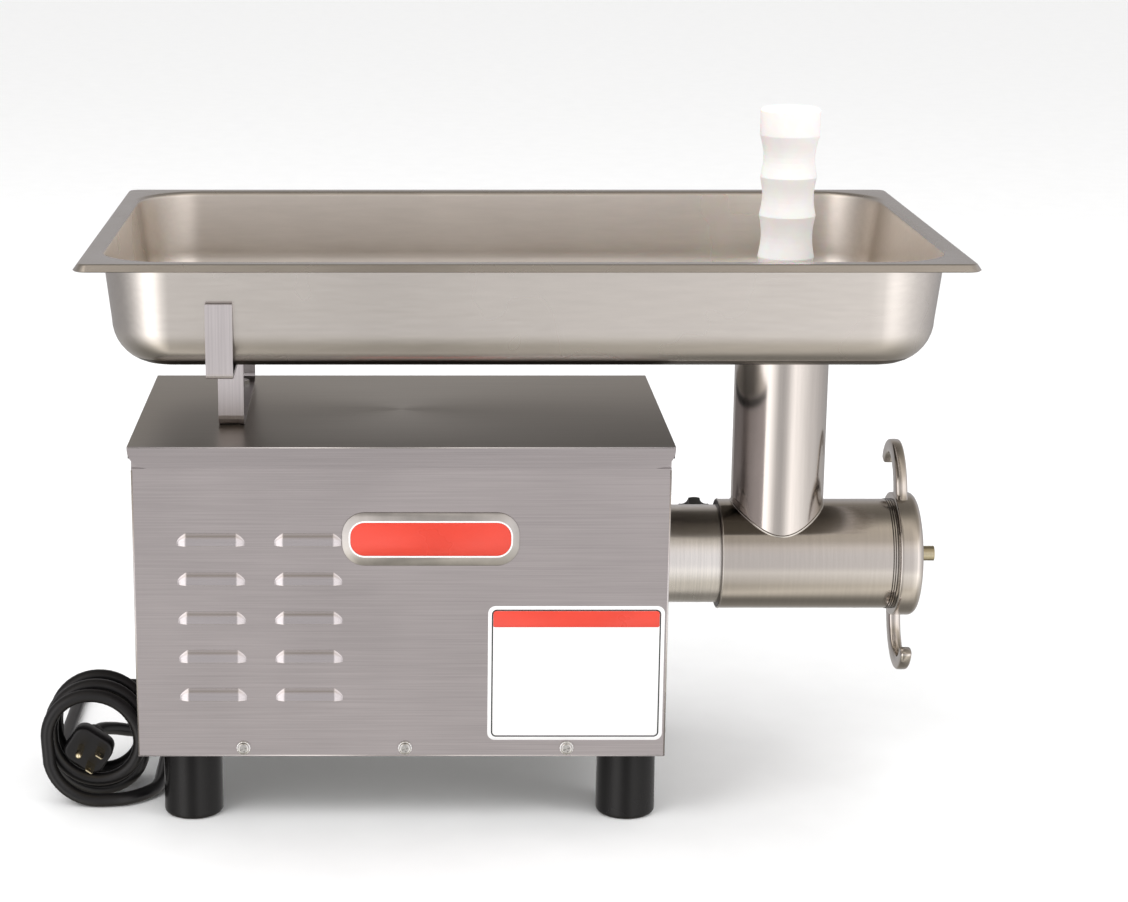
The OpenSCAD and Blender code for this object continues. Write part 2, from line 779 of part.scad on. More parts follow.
// Left-hand flight on a solid core: a sector of a disc, twisted along the axis
module auger() {
    span = 360 * flight_t / auger_pitch;
    length = auger_x1 - auger_x0;
    turn = 360 * length / auger_pitch;
    outline = concat(
        arc([0, 0], auger_core_r, span / 2, 360 - span / 2, 12),
        arc([0, 0], auger_r, -span / 2, span / 2, 5)
    );
    color([0.76, 0.74, 0.7]) on_axis(auger_x0)
        linear_extrude(length, twist = turn, slices = ceil(turn / 15), segments = 1) polygon(outline);
}
module auger_shank() {
    color([0.6, 0.58, 0.55]) {
        x_tube(spigot_x0 + 6, auger_x0, shank_bore_d - 0.12);
        translate([108, -(tang - 0.2) / 2, axis_z - (tang - 0.2) / 2])
            cube([spigot_x0 + 6 - 108 + eps, tang - 0.2, tang - 0.2]);
    }
}
module auger_stud() {
    color([0.7, 0.67, 0.55]) {
        translate([auger_x1, -knife_square / 2, axis_z - knife_square / 2])
            cube([plate_x0 - auger_x1 - 0.1, knife_square, knife_square]);
        x_tube(plate_x0 - 0.1 - eps, stud_x1, stud_d);
    }
}

// Four-armed knife driven by the square behind the plate
module knife() {
    color([0.66, 0.66, 0.66]) difference() {
        union() {
            x_tube(knife_x0, knife_x0 + knife_t, 25);
            for (a = [0:90:270]) on_axis(knife_x0) rotate([0, 0, a]) linear_extrude(knife_t)
                polygon([[8, -6], [27, -2], [28.5, 0.5], [28.5, 3.5], [8, 6]]);
        }
        translate([knife_x0 - 1, -knife_square / 2 - 0.1, axis_z - knife_square / 2 - 0.1])
            cube([knife_t + 2, knife_square + 0.2, knife_square + 0.2]);
    }
}
module hole_plate() {
    rings = [[11, 8], [17, 14], [23, 20], [29, 26]];
    color([0.7, 0.7, 0.69]) difference() {
        x_tube(plate_x0, plate_x1, plate_d, stud_d + 0.16);
        on_axis(plate_x0 - 1) {
            for (ring = rings, i = [0:ring[1] - 1])
                rotate([0, 0, 360 * (i + 0.5) / ring[1]]) translate([ring[0], 0, 0])
                    cylinder(d = plate_hole_d, h = plate_t + 2, $fn = 24);
            rotate([0, 0, -90]) translate([plate_seat_d / 2, 0, 0])
                cylinder(d = key_d + 0.4, h = plate_t + 2, $fn = 24);
        }
    }
}
module plate_key() {
    color("dimgray") translate([plate_x0 + 1, 0, axis_z - plate_seat_d / 2]) rotate([0, 90, 0])
        cylinder(d = key_d, h = barrel_x1 - plate_x0 - 1, $fn = 24);
}

// Ring nut: a turned ring with two curved horns to turn it by
module horn() {
    centre = concat([[-3, 34], [-2, 44]], arc([24, 46], 24.5, 165, 20, 9));
    n = len(centre);
    left = [for (i = [0:n - 1]) side_of(centre, i, 6.5 - 2.5 * i / (n - 1))];
    right = [for (i = [n - 1:-1:0]) side_of(centre, i, -6.5 + 2.5 * i / (n - 1))];
    on_axis(horn_x0) linear_extrude(horn_x1 - horn_x0) polygon(concat(left, right));
}
module ring_nut() {
    r = ring_d / 2;
    color([0.74, 0.71, 0.68]) difference() {
        union() {
            on_axis() rotate_extrude() polygon(concat(
                [[0, ring_x0], [r - 1, ring_x0], [r, ring_x0 + 1]],
                arc([r - ring_edge_r, ring_x1 - ring_edge_r], ring_edge_r, 0, 90, 5),
                [[0, ring_x1]]
            ));
            horn();
            translate([0, 0, 2 * axis_z]) rotate([180, 0, 0]) horn();
        }
        x_tube(ring_x0 - 10, plate_x1 + 0.1, ring_bore_d);
        x_tube(ring_x0, ring_x1 + 1, ring_open_d);
    }
}

// ================= gearbox =================

// Outline of the gearbox: two discs joined by straight sides
module case_outline(r) {
    circle(r = r);
    translate([0, -gear_centre]) circle(r = r);
    translate([-r, -gear_centre]) square([2 * r, gear_centre]);
}
// Bolts that clamp the motor, the cover and the case together, and the one below the motor
clamp_bolts = [[0, 45.5], [41.6, 18.5], [-41.6, 18.5], [45.5, -28], [-45.5, -28]];
low_bolt = [0, -95];
case_bolt_d = 3;
case_bolt_reach = 7;
module case_bolt(p, x0) {
    on_axis(x0) translate([p[0], p[1], 0]) {
        translate([0, 0, -2.5]) cylinder(d = 6, h = 2.5, $fn = 32);
        translate([0, 0, -eps]) cylinder(d = case_bolt_d, h = cover_x1 + case_bolt_reach - x0, $fn = 24);
    }
}
module case_bolt_holes(x0, x1, places, d) {
    on_axis(x0) for (p = places) translate([p[0], p[1], 0]) cylinder(d = d, h = x1 - x0, $fn = 24);
}
module gearbox_case() {
    foot_h = lay_z - case_r + 6 - base_top;
    color([0.55, 0.56, 0.56]) difference() {
        union() {
            on_axis(cover_x1) linear_extrude(case_x1 - cover_x1) case_outline(case_r);
            translate([cover_x1, -40, base_top]) cube([case_x1 - cover_x1, 80, foot_h + 10]);
        }
        on_axis(cover_x1 - 1) linear_extrude(case_x1 - case_wall - cover_x1 + 1)
            case_outline(case_r - case_skin);
        x_tube(case_x1 - case_wall - 1, case_x1 + 1, bearing_od);
        x_tube(case_x1 - case_wall - 1, case_x1 + 1, lay_bearing_od, z = lay_z);
        for (a = [45:90:315]) on_axis(case_x1 - case_wall - 1) rotate([0, 0, a])
            translate([neck_bolt_r, 0, 0]) cylinder(d = 6.2, h = case_wall + 2, $fn = 32);
        case_bolt_holes(cover_x1 - 1, cover_x1 + case_bolt_reach + 1,
            concat(clamp_bolts, [low_bolt]), case_bolt_d + 0.2);
    }
}
module gearbox_cover() {
    color([0.5, 0.51, 0.51]) difference() {
        on_axis(case_x0) linear_extrude(case_wall) case_outline(case_r);
        x_tube(case_x0 - 1, cover_x1 + 1, motor_shaft_d + 9);
        x_tube(case_x0 - 1, cover_x1 + 1, lay_bearing_od, z = lay_z);
        case_bolt_holes(case_x0 - 1, cover_x1 + 1, concat(clamp_bolts, [low_bolt]), case_bolt_d + 0.4);
    }
}
module gearbox_bolts() {
    color("dimgray") {
        for (p = clamp_bolts) case_bolt(p, motor_x1);
        case_bolt(low_bolt, case_x0);
    }
}
module output_shaft() {
    color("silver") difference() {
        x_tube(stage2_x0 - 1, spigot_x0 + 5, shaft_d);
        translate([107, -tang / 2, axis_z - tang / 2]) cube([30, tang, tang]);
    }
}
module output_gear() {
    color("darkgray") difference() {
        on_axis(stage2_x0) linear_extrude(stage2_w) gear_outline(gear_teeth, -90);
        x_tube(stage2_x0 - 1, stage2_x0 + stage2_w + 1, shaft_d);
        for (a = [0:60:300]) on_axis(stage2_x0 - 1) rotate([0, 0, a]) translate([23, 0, 0])
            cylinder(d = 12, h = stage2_w + 2, $fn = 32);
    }
}
// Bearing ring with a groove on each face between its races
module bearing(x0, od, bore, w, z = axis_z) {
    mid = (od + bore) / 4;
    band = (od - bore) / 10;
    on_axis(x0, z) rotate_extrude() polygon([
        [bore / 2, 0], [mid - band, 0], [mid - band, 1], [mid + band, 1], [mid + band, 0], [od / 2, 0],
        [od / 2, w], [mid + band, w], [mid + band, w - 1], [mid - band, w - 1], [mid - band, w], [bore / 2, w]
    ]);
}
module output_bearings() {
    color("lightgray")
        for (x = [case_x1 - case_wall + 0.5, case_x1 + 14])
            bearing(x, bearing_od, shaft_d + 2 * bearing_gap, bearing_w);
}
module shaft_seal() {
    x0 = case_x1 + 30;
    color([0.3, 0.1, 0.08]) x_tube(x0, x0 + seal_w, bearing_od, shaft_d + 2 * bearing_gap);
}
// Layshaft with its pinion cut on it
module layshaft() {
    color("silver") {
        x_tube(case_x0 + 0.5, case_x1 - 0.5, lay_d, z = lay_z);
        on_axis(stage2_x0 - 1, lay_z) linear_extrude(stage2_w + 2)
            gear_outline(pinion_teeth, 90 + 180 / pinion_teeth);
    }
}
module lay_gear() {
    color("darkgray") difference() {
        on_axis(stage1_x0, lay_z) linear_extrude(stage1_w) gear_outline(gear_teeth, 90);
        x_tube(stage1_x0 - 1, stage1_x0 + stage1_w + 1, lay_d, z = lay_z);
        for (a = [0:60:300]) on_axis(stage1_x0 - 1, lay_z) rotate([0, 0, a]) translate([22, 0, 0])
            cylinder(d = 14, h = stage1_w + 2, $fn = 32);
    }
}
module lay_bearings() {
    color("lightgray") for (x = [case_x0, case_x1 - case_wall])
        bearing(x, lay_bearing_od, lay_d + 2 * bearing_gap, lay_bearing_w, z = lay_z);
}

// ================= motor =================

module motor_bolt_places() {
    for (a = [45:90:315]) on_axis() rotate([0, 0, a]) translate([motor_bolt_r, 0, 0]) children();
}
module motor_shell() {
    color([0.2, 0.22, 0.25]) x_tube(motor_x0, motor_x1, 2 * motor_r, 2 * (motor_r - motor_t));
}
module motor_front_bell() {
    color([0.6, 0.6, 0.6]) difference() {
        union() {
            x_tube(motor_x1, case_x0, 2 * motor_r);
            x_tube(case_x0 - motor_bearing_w - 4, case_x0, motor_bearing_od + 12);
        }
        x_tube(case_x0 - motor_bearing_w, case_x0 + 1, motor_bearing_od);
        x_tube(0, case_x0 + 1, motor_shaft_d + 5);
        motor_bolt_places() translate([0, 0, motor_x1 - 1]) cylinder(d = motor_bolt_d, h = 20, $fn = 24);
        case_bolt_holes(motor_x1 - 1, case_x0 + 1, clamp_bolts, case_bolt_d + 0.4);
    }
}
module motor_rear_bell() {
    x0 = motor_x0 - bell_t;
    color([0.6, 0.6, 0.6]) difference() {
        union() {
            x_tube(x0, motor_x0, 2 * motor_r);
            x_tube(x0, x0 + motor_bearing_w + 4, motor_bearing_od + 12);
        }
        x_tube(x0 + 2, x0 + 30, motor_bearing_od);
        x_tube(x0 - 1, x0 + 30, motor_shaft_d + 5);
        motor_bolt_places() translate([0, 0, x0 - 1]) cylinder(d = motor_bolt_d + 0.4, h = 20, $fn = 24);
        for (a = [0:45:315]) on_axis(x0 - 1) rotate([0, 0, a]) translate([48, 0, 0])
            cylinder(d = 18, h = bell_t + 2, $fn = 32);
    }
}
module motor_bolts() {
    x0 = motor_x0 - bell_t;
    color("silver") motor_bolt_places() {
        translate([0, 0, x0 - 4]) cylinder(d = 8, h = 4, $fn = 6);
        translate([0, 0, x0 - eps]) cylinder(d = motor_bolt_d, h = motor_x1 + 6 - x0, $fn = 24);
    }
}
module motor_cradle() {
    color([0.3, 0.3, 0.3]) difference() {
        for (x = cradle_xs) translate([x, -cradle_w / 2, base_top]) cube([cradle_l, cradle_w, 60]);
        x_tube(-200, 0, 2 * motor_r);
    }
}
module stator_core() {
    color([0.45, 0.42, 0.4]) difference() {
        x_tube(stator_x0, stator_x1, 2 * (motor_r - motor_t), 2 * stator_bore_r);
        motor_bolt_places() translate([0, 0, stator_x0 - 1])
            cylinder(d = motor_bolt_d + 1, h = stator_x1 - stator_x0 + 2, $fn = 24);
    }
}
module stator_windings() {
    color([0.65, 0.35, 0.15]) for (x = [stator_x0 - 20, stator_x1])
        on_axis(x) rotate_extrude() translate([46, 0]) square([17, 20]);
}
module rotor_core() {
    color([0.5, 0.5, 0.52]) x_tube(stator_x0, stator_x1, 2 * rotor_r, motor_shaft_d);
}
// Motor shaft with the first pinion cut on its end
module motor_shaft() {
    color("silver") {
        x_tube(fan_x0 - 2, stage1_x0 - 1, motor_shaft_d);
        on_axis(stage1_x0 - 1 - eps) linear_extrude(stage1_w + 2)
            gear_outline(pinion_teeth, -90 + 180 / pinion_teeth);
    }
}
module motor_bearings() {
    color("lightgray") for (x = [motor_x0 - bell_t + 2, case_x0 - motor_bearing_w])
        bearing(x, motor_bearing_od, motor_shaft_d + 2 * bearing_gap, motor_bearing_w);
}
module cooling_fan() {
    color([0.1, 0.1, 0.1]) {
        x_tube(fan_x0, fan_x0 + fan_w, 40, motor_shaft_d);
        x_tube(fan_x0 + fan_w - 2, fan_x0 + fan_w, 120, 39);
        for (a = [0:45:315]) on_axis(fan_x0) rotate([0, 0, a])
            translate([19, -1, 0]) cube([41, 2, fan_w - 2 + eps]);
    }
}

// ================= electrics =================

module run_capacitor() {
    color([0.75, 0.75, 0.78]) translate([cap_x, cap_y, 0]) {
        translate([0, 0, base_top]) cylinder(d = cap_d, h = cap_h, $fn = 64);
        translate([0, 0, base_z - 6]) cylinder(d = 8, h = 10, $fn = 32);
        translate([0, 0, base_z - 5]) cylinder(d = 15, h = 5, $fn = 6);
        for (y = [-7, 7]) translate([-3, y - 0.5, base_top + cap_h - eps]) cube([6, 1, 9]);
    }
}
module switch_body() {
    color([0.08, 0.08, 0.08]) translate([0, switch_y, switch_z]) difference() {
        union() {
            translate([housing_x0 - 2.2, -12.5, -17.5]) cube([2.2, 25, 35]);
            translate([housing_x0 - eps, -9.9, -14.9]) cube([24, 19.8, 29.8]);
        }
        translate([housing_x0 - 3, -8, -13.4]) cube([16, 16, 26.8]);
        translate([switch_pivot_x, 0, 0]) switch_pin(switch_pin_d + 0.1, switch_pin_l + 0.4);
    }
}
module switch_pin(d, l) {
    rotate([90, 0, 0]) cylinder(d = d, h = l, center = true, $fn = 32);
}
// Rocker on two pins along Y; it rests in its off position
module switch_rocker() {
    color([0.45, 0.05, 0.05]) translate([switch_pivot_x, switch_y, switch_z]) rotate([0, switch_rest, 0]) {
        translate([0, 7.7, 0]) rotate([90, 0, 0]) linear_extrude(15.4)
            polygon([[5, -8], [-2, -12.6], [-5.5, -11.4], [-3.2, 0], [-5.5, 11.4], [-2, 12.6], [5, 8]]);
        switch_pin(switch_pin_d, switch_pin_l);
    }
}
// Strain relief: a flange, a nut inside and a tapered sleeve outside
module cord_gland() {
    color([0.06, 0.06, 0.06]) translate([gland_x, 0, gland_z]) rotate([-90, 0, 0]) {
        translate([0, 0, half_w]) cylinder(d = 22, h = 3.5, $fn = 48);
        translate([0, 0, half_w - 8]) cylinder(d = 16, h = 9, $fn = 48);
        translate([0, 0, inner_w - 5]) cylinder(d = 24, h = 5, $fn = 6);
        translate([0, 0, half_w + 3.5 - eps])
            cylinder(d1 = 16, d2 = cord_d + 1.6, h = gland_y1 - half_w - 3.5, $fn = 48);
    }
}
module cord_run() {
    color([0.07, 0.07, 0.07]) {
        swept_tube(smooth(lead_route, route_steps), cord_d, cord_sides);
        swept_tube(smooth(tail_route, route_steps), cord_d, cord_sides);
    }
}
// The wound part of the cord: an upright hank with a hole through it
module cord_hank() {
    module stadium(r) {
        for (s = [-1, 1]) translate([0, s * hank_straight / 2]) circle(r = r);
        square([2 * r, hank_straight], center = true);
    }
    mid = cord_d / 2 + 0.1 + hank_turn_r + hank_straight / 2;
    color([0.07, 0.07, 0.07]) translate([hank_x, hank_y1, mid]) rotate([90, 0, 0])
        linear_extrude(hank_y1 - hank_y0) difference() {
            stadium(hank_turn_r + cord_d / 2);
            stadium(hank_turn_r - cord_d / 2);
        }
}
// Moulded three-pin plug, its pins towards -Y
module cord_plug() {
    translate(plug_c) rotate([90, plug_turn, 0]) {
        color([0.09, 0.09, 0.09]) {
            translate([0, 0, -14]) linear_extrude(14) rounded_rect([30, 26], 8);
            translate([0, 0, -plug_body_l]) cylinder(d1 = 12, d2 = 24, h = plug_body_l - 14 + eps, $fn = 48);
        }
        color([0.8, 0.7, 0.4]) {
            for (y = [-6.35, 6.35]) translate([3.4, y - 0.75, -eps]) cube([6.3, 1.5, 16]);
            translate([-5.4, 0, -eps]) cylinder(d = 4.8, h = 18.5, $fn = 32);
        }
    }
}

base_pan();
front_panel();
back_panel();
left_panel();
right_panel();
top_cover();
cover_seals();
housing_screws();
badge_plate();
caution_plate();
foot_front_left();
foot_front_right();
foot_rear_left();
foot_rear_right();
foot_bolts();
tray_bracket();
bracket_bolts();
tray();
pusher();
drive_neck();
neck_bolts();
lock_knob();
lock_stud();
grinding_head();
thrust_washer();
auger();
auger_shank();
auger_stud();
knife();
hole_plate();
plate_key();
ring_nut();
gearbox_case();
gearbox_cover();
gearbox_bolts();
output_shaft();
output_gear();
output_bearings();
shaft_seal();
layshaft();
lay_gear();
lay_bearings();
motor_shell();
motor_front_bell();
motor_rear_bell();
motor_bolts();
motor_cradle();
stator_core();
stator_windings();
rotor_core();
motor_shaft();
motor_bearings();
cooling_fan();
run_capacitor();
switch_body();
switch_rocker();
cord_gland();
cord_run();
cord_hank();
cord_plug();
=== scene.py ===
import math

import bmesh
import bpy
from mathutils import Matrix, Vector


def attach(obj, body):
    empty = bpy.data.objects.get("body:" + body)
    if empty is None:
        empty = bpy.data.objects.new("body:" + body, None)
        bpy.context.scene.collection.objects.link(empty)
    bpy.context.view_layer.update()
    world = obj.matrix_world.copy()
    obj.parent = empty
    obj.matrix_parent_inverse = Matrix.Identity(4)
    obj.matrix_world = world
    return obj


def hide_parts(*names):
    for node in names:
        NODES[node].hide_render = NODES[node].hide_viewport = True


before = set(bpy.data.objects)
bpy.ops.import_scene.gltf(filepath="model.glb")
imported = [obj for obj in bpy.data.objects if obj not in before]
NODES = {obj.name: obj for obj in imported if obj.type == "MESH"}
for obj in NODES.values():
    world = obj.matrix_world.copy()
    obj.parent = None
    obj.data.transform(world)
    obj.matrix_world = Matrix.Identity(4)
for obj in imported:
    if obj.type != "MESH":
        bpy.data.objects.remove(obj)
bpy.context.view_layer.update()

MM = 0.001

# ---------------------------------------------------------------- camera

camera_data = bpy.data.cameras.new("camera")
camera_data.lens = 81.48
camera_data.sensor_width = 36.0
camera_data.sensor_fit = "HORIZONTAL"
camera_data.shift_x = 0.1423
camera_data.clip_start = 0.05
camera_data.clip_end = 50.0
camera = bpy.data.objects.new("camera", camera_data)
camera.location = (-0.0826, -1.7084, 0.6581)
camera.rotation_euler = (math.radians(90 - 14.01), 0.0, 0.0)
bpy.context.scene.collection.objects.link(camera)
bpy.context.scene.camera = camera

# ---------------------------------------------------------------- helpers


def link_object(name, data):
    made = bpy.data.objects.new(name, data)
    bpy.context.scene.collection.objects.link(made)
    return made


def mesh_object(name, verts, faces):
    data = bpy.data.meshes.new(name)
    data.from_pydata([tuple(v) for v in verts], [], faces)
    data.update()
    for polygon in data.polygons:
        polygon.use_smooth = True
    return link_object(name, data)


def circle(steps):
    """Cosine and sine at even steps round one turn."""
    return [(math.cos(a), math.sin(a)) for a in (2 * math.pi * k / steps for k in range(steps))]


def smooth_route(points, steps):
    """Passes a smooth curve through the points, as the CAD tube does."""
    points = [Vector(p) for p in points]
    last = len(points) - 1
    out = []
    for i in range(last):
        a, b, c, d = points[max(i - 1, 0)], points[i], points[i + 1], points[min(i + 2, last)]
        for k in range(steps):
            t = k / steps
            out.append(
                0.5 * (2 * b + (c - a) * t + (2 * a - 5 * b + 4 * c - d) * t**2
                       + (3 * b - a - 3 * c + d) * t**3)
            )
    out.append(points[last])
    return out


def bridge(rings, close_loop=False, caps=False):
    """Faces between rings of equal length; each ring is closed."""
    n = len(rings[0])
    verts = [v for ring in rings for v in ring]
    faces = []
    pairs = list(zip(range(len(rings) - 1), range(1, len(rings))))
    if close_loop:
        pairs.append((len(rings) - 1, 0))
    for i, j in pairs:
        for k in range(n):
            m = (k + 1) % n
            faces.append((i * n + k, i * n + m, j * n + m, j * n + k))
    if caps:
        faces.append(tuple(range(n))[::-1])
        faces.append(tuple((len(rings) - 1) * n + k for k in range(n)))
    return verts, faces


def outward(obj):
    """Turns every face outwards."""
    mesh = bmesh.new()
    mesh.from_mesh(obj.data)
    bmesh.ops.recalc_face_normals(mesh, faces=mesh.faces)
    mesh.to_mesh(obj.data)
    mesh.free()
    return obj


def piece(name, rings, place=None, **options):
    """A solid through rings given in millimetres."""
    if place is not None:
        rings = [[place @ Vector(v) for v in ring] for ring in rings]
    verts, faces = bridge(rings, **options)
    return outward(mesh_object(name, [Vector(v) * MM for v in verts], faces))


def sharpen(obj, angle=35):
    """Keeps the edges sharper than an angle crisp under smooth shading."""
    mesh = bmesh.new()
    mesh.from_mesh(obj.data)
    for edge in mesh.edges:
        edge.smooth = edge.calc_face_angle(0.0) < math.radians(angle)
    mesh.to_mesh(obj.data)
    mesh.free()
    return obj


def tube_rings(line, radius, sides, closed=False):
    """Rings round a line, turned as little as possible from one to the next."""
    line = [Vector(p) for p in line]
    last = len(line) - 1
    rings = []
    up = None
    for i, point in enumerate(line):
        before = line[i - 1] if i > 0 or closed else line[i]
        after = line[(i + 1) % len(line)] if i < last or closed else line[i]
        ahead = (after - before).normalized()
        if up is None:
            up = ahead.orthogonal()
        up = (up - ahead * up.dot(ahead)).normalized()
        side = ahead.cross(up)
        rings.append([point + (up * c + side * s) * radius for c, s in circle(sides)])
    return rings


def rounded_outline(half_x, half_z, r, per_corner=8):
    """Corner points of a rounded rectangle, anticlockwise from +X."""
    out = []
    for turn, (sx, sz) in enumerate(((1, 1), (-1, 1), (-1, -1), (1, -1))):
        for k in range(per_corner + 1):
            a = math.radians(90 * turn + 90 * k / per_corner)
            out.append((sx * (half_x - r) + r * math.cos(a), sz * (half_z - r) + r * math.sin(a)))
    return out


# ---------------------------------------------------------------- mains cord

CORD_D = 9.0
FLOOR = CORD_D / 2 + 0.1
# The route's points, as in part.scad: from the gland to the hank, and from the hank to the plug
LEAD = [
    (-200, 131, 79), (-200, 147, 78), (-203, 163, 73), (-211, 176, 62), (-224, 182, 48),
    (-237, 176, 34), (-246, 162, 22), (-251, 144, 12), (-252, 124, 6), (-252, 104, FLOOR),
    (-252, 60, FLOOR), (-252, 20, FLOOR), (-252, -16, FLOOR), (-252, -38, FLOOR),
    (-254.5, -52, FLOOR), (-262.5, -63.5, FLOOR), (-274, -71.5, FLOOR), (-288, -74, FLOOR),
]
TAIL = [
    (-292.5, -17, FLOOR), (-306.5, -14, FLOOR), (-318.5, -6.5, FLOOR), (-326, 5.5, FLOOR),
    (-329, 19.5, FLOOR), (-329, 45, FLOOR), (-329, 80, FLOOR), (-329, 110, FLOOR),
    (-329, 131, FLOOR), (-324.5, 148, FLOOR), (-312.5, 160, FLOOR), (-295.5, 164.5, FLOOR),
    (-278.5, 160, FLOOR), (-266.5, 148, FLOOR), (-262, 131, FLOOR), (-262, 105, FLOOR),
    (-262, 80, 5.2), (-264, 54, 9), (-269, 34, 15), (-277, 16, 22), (-287, -2, 30),
    (-294.5, -18, 35.5), (-298, -30, 37),
]
HANK_X = -292.0
TURN_R = 31.0
TURNS = 5
HANK_Y = (-74.0, -17.0)
# Two of the turns lie on their neighbours at the bottom, and the plug rests on those
TURN_BOTTOMS = [FLOOR, 15.5, FLOOR, 15.0, FLOOR, FLOOR]
TURN_TOPS = [78.0, 81.5, 77.0, 80.5, 75.0]
# How far each turn leans to the left, in degrees
TURN_LEANS = [5.0, 1.0, 6.0, 1.5, 4.0]
TURN_STEPS = 48
ROUTE_STEPS = 6
CORD_SIDES = 20
# Points closer than this to the one before are left out
CLOSEST = 0.3


def hank_points():
    """Upright turns beside each other: left along the bottom, up, over and down again."""
    flat = []
    quarter = TURN_STEPS // 4
    for turn in range(TURNS):
        low = TURN_BOTTOMS[turn] + TURN_R
        high = TURN_TOPS[turn] - TURN_R
        next_low = TURN_BOTTOMS[turn + 1] + TURN_R
        for k in range(TURN_STEPS):
            a = math.radians(270 - 360 * k / TURN_STEPS)
            level = low if k < quarter else high if k < 3 * quarter else next_low
            x, z = TURN_R * math.cos(a), level + TURN_R * math.sin(a) - FLOOR
            # the lean grows and fades once in a turn, from nothing at the bottom
            lean = math.radians(TURN_LEANS[turn]) * math.sin(math.pi * k / TURN_STEPS) ** 2
            flat.append((
                HANK_X + x * math.cos(lean) - z * math.sin(lean),
                max(FLOOR, FLOOR + x * math.sin(lean) + z * math.cos(lean)),
            ))
    flat.append((HANK_X, TURN_BOTTOMS[TURNS]))
    run = [0.0]
    for (x0, z0), (x1, z1) in zip(flat, flat[1:]):
        run.append(run[-1] + math.hypot(x1 - x0, z1 - z0))
    return [
        Vector((x, HANK_Y[0] + (HANK_Y[1] - HANK_Y[0]) * s / run[-1], z))
        for (x, z), s in zip(flat, run)
    ]


cord_line = smooth_route(LEAD, ROUTE_STEPS) + hank_points() + smooth_route(TAIL, ROUTE_STEPS)[1:]
cord_line = [p for i, p in enumerate(cord_line) if i == 0 or (p - cord_line[i - 1]).length > CLOSEST]

cord = piece("mains_cord", tube_rings(cord_line, CORD_D / 2, CORD_SIDES), caps=True)
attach(cord, "root")
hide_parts("cord_run", "cord_hank")

# The plug's own axis is +Z at its face; it points along -Y and is turned about that
PLUG_PLACE = (
    Matrix.Translation((-298, -66, 37)) @ Matrix.Rotation(math.radians(34), 4, "Y")
    @ Matrix.Rotation(math.radians(90), 4, "X")
)
# Height from the face, half width, half thickness and corner radius, from the face to the neck
PLUG_SECTIONS = [
    (0.0, 12.6, 10.6, 6.0), (0.0, 13.8, 11.8, 6.6), (-0.5, 14.6, 12.6, 7.2), (-1.4, 15.0, 13.0, 7.6),
    (-12.6, 15.0, 13.0, 7.6), (-13.6, 14.6, 12.6, 7.4), (-14.2, 13.4, 11.8, 7.2), (-17.0, 11.6, 11.0, 8.0),
    (-22.0, 9.6, 9.6, 8.4), (-24.0, 8.6, 8.6, 8.0), (-25.0, 8.4, 8.4, 8.0), (-25.8, 7.4, 7.4, 7.2),
    (-27.2, 7.4, 7.4, 7.2), (-28.0, 8.0, 8.0, 7.8), (-29.6, 7.8, 7.8, 7.6), (-30.4, 6.7, 6.7, 6.5),
    (-31.8, 6.7, 6.7, 6.5), (-32.6, 7.2, 7.2, 7.0), (-34.6, 6.8, 6.8, 6.6), (-36.0, 5.6, 5.6, 5.5),
]
plug_body = piece(
    "plug_body",
    [[(x, y, z) for x, y in rounded_outline(w, h, r)] for z, w, h, r in PLUG_SECTIONS],
    PLUG_PLACE, caps=True,
)

BLADE_X = 6.55
BLADE_YS = (-6.35, 6.35)
BLADE_EDGE_R = 0.2
# Height from the plug's face, half width and half thickness
BLADE_SECTIONS = [(-1, 3.15, 0.75), (13.6, 3.15, 0.75), (15.2, 2.7, 0.62), (16, 2.2, 0.4)]
BUTTON_Z = 10.5
BUTTON_R = 1.3
BUTTON_HALF = 0.79
EARTH_X = -5.4
# Height from the plug's face and radius
EARTH_SECTIONS = [(-1, 2.4), (15.6, 2.4), (16.8, 2.15), (17.8, 1.6), (18.4, 0.7)]


def plug_pins():
    """Two flat blades, each with a thin round button where a real one has its hole, and an earth pin."""
    made = []
    for y in BLADE_YS:
        blade = [
            [(BLADE_X + x, y + t, z) for x, t in rounded_outline(half_w, half_t, BLADE_EDGE_R, 2)]
            for z, half_w, half_t in BLADE_SECTIONS
        ]
        made.append(piece("blade", blade, PLUG_PLACE, caps=True))
        button = [
            [(BLADE_X + BUTTON_R * c, y + side, BUTTON_Z + BUTTON_R * s) for c, s in circle(16)]
            for side in (-BUTTON_HALF, BUTTON_HALF)
        ]
        made.append(piece("button", button, PLUG_PLACE, caps=True))
    earth = [[(EARTH_X + r * c, r * s, z) for c, s in circle(24)] for z, r in EARTH_SECTIONS]
    made.append(piece("earth", earth, PLUG_PLACE, caps=True))
    return made


def joined(name, parts):
    """One object from several, each keeping its own faces."""
    mesh = bmesh.new()
    for part in parts:
        mesh.from_mesh(part.data)
        bpy.data.objects.remove(part)
    data = bpy.data.meshes.new(name)
    mesh.to_mesh(data)
    mesh.free()
    return link_object(name, data)


plug_metal = sharpen(joined("plug_pins", plug_pins()))
sharpen(plug_body, 60)
for obj in (plug_body, plug_metal):
    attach(obj, "root")
    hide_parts("cord_plug")

# ---------------------------------------------------------------- tray

TRAY_X = -6.5
FEED_X = 176.0
RIM_Z = 390.0
SHEET = 1.0
WALL_LEAN = math.tan(math.radians(6.5))
WALL_HALF = (267.0, 151.0)
WALL_CORNER = 45.0
CORNER_STEPS = 14
# Outer radii of the bends from the wall to the rim and from the rim to the lip, and where the rim's flat
# part starts and ends, out from the top of the wall
RIM_BEND = 3.5
LIP_BEND = 2.0
RIM_START = 2.1
RIM_END = 8.97
BEND_STEPS = 6
# Loss of corner radius per millimetre across the rim, and the centre of the lip's corners
CORNER_LOSS = 6.15
LIP_CENTRE = 4.0
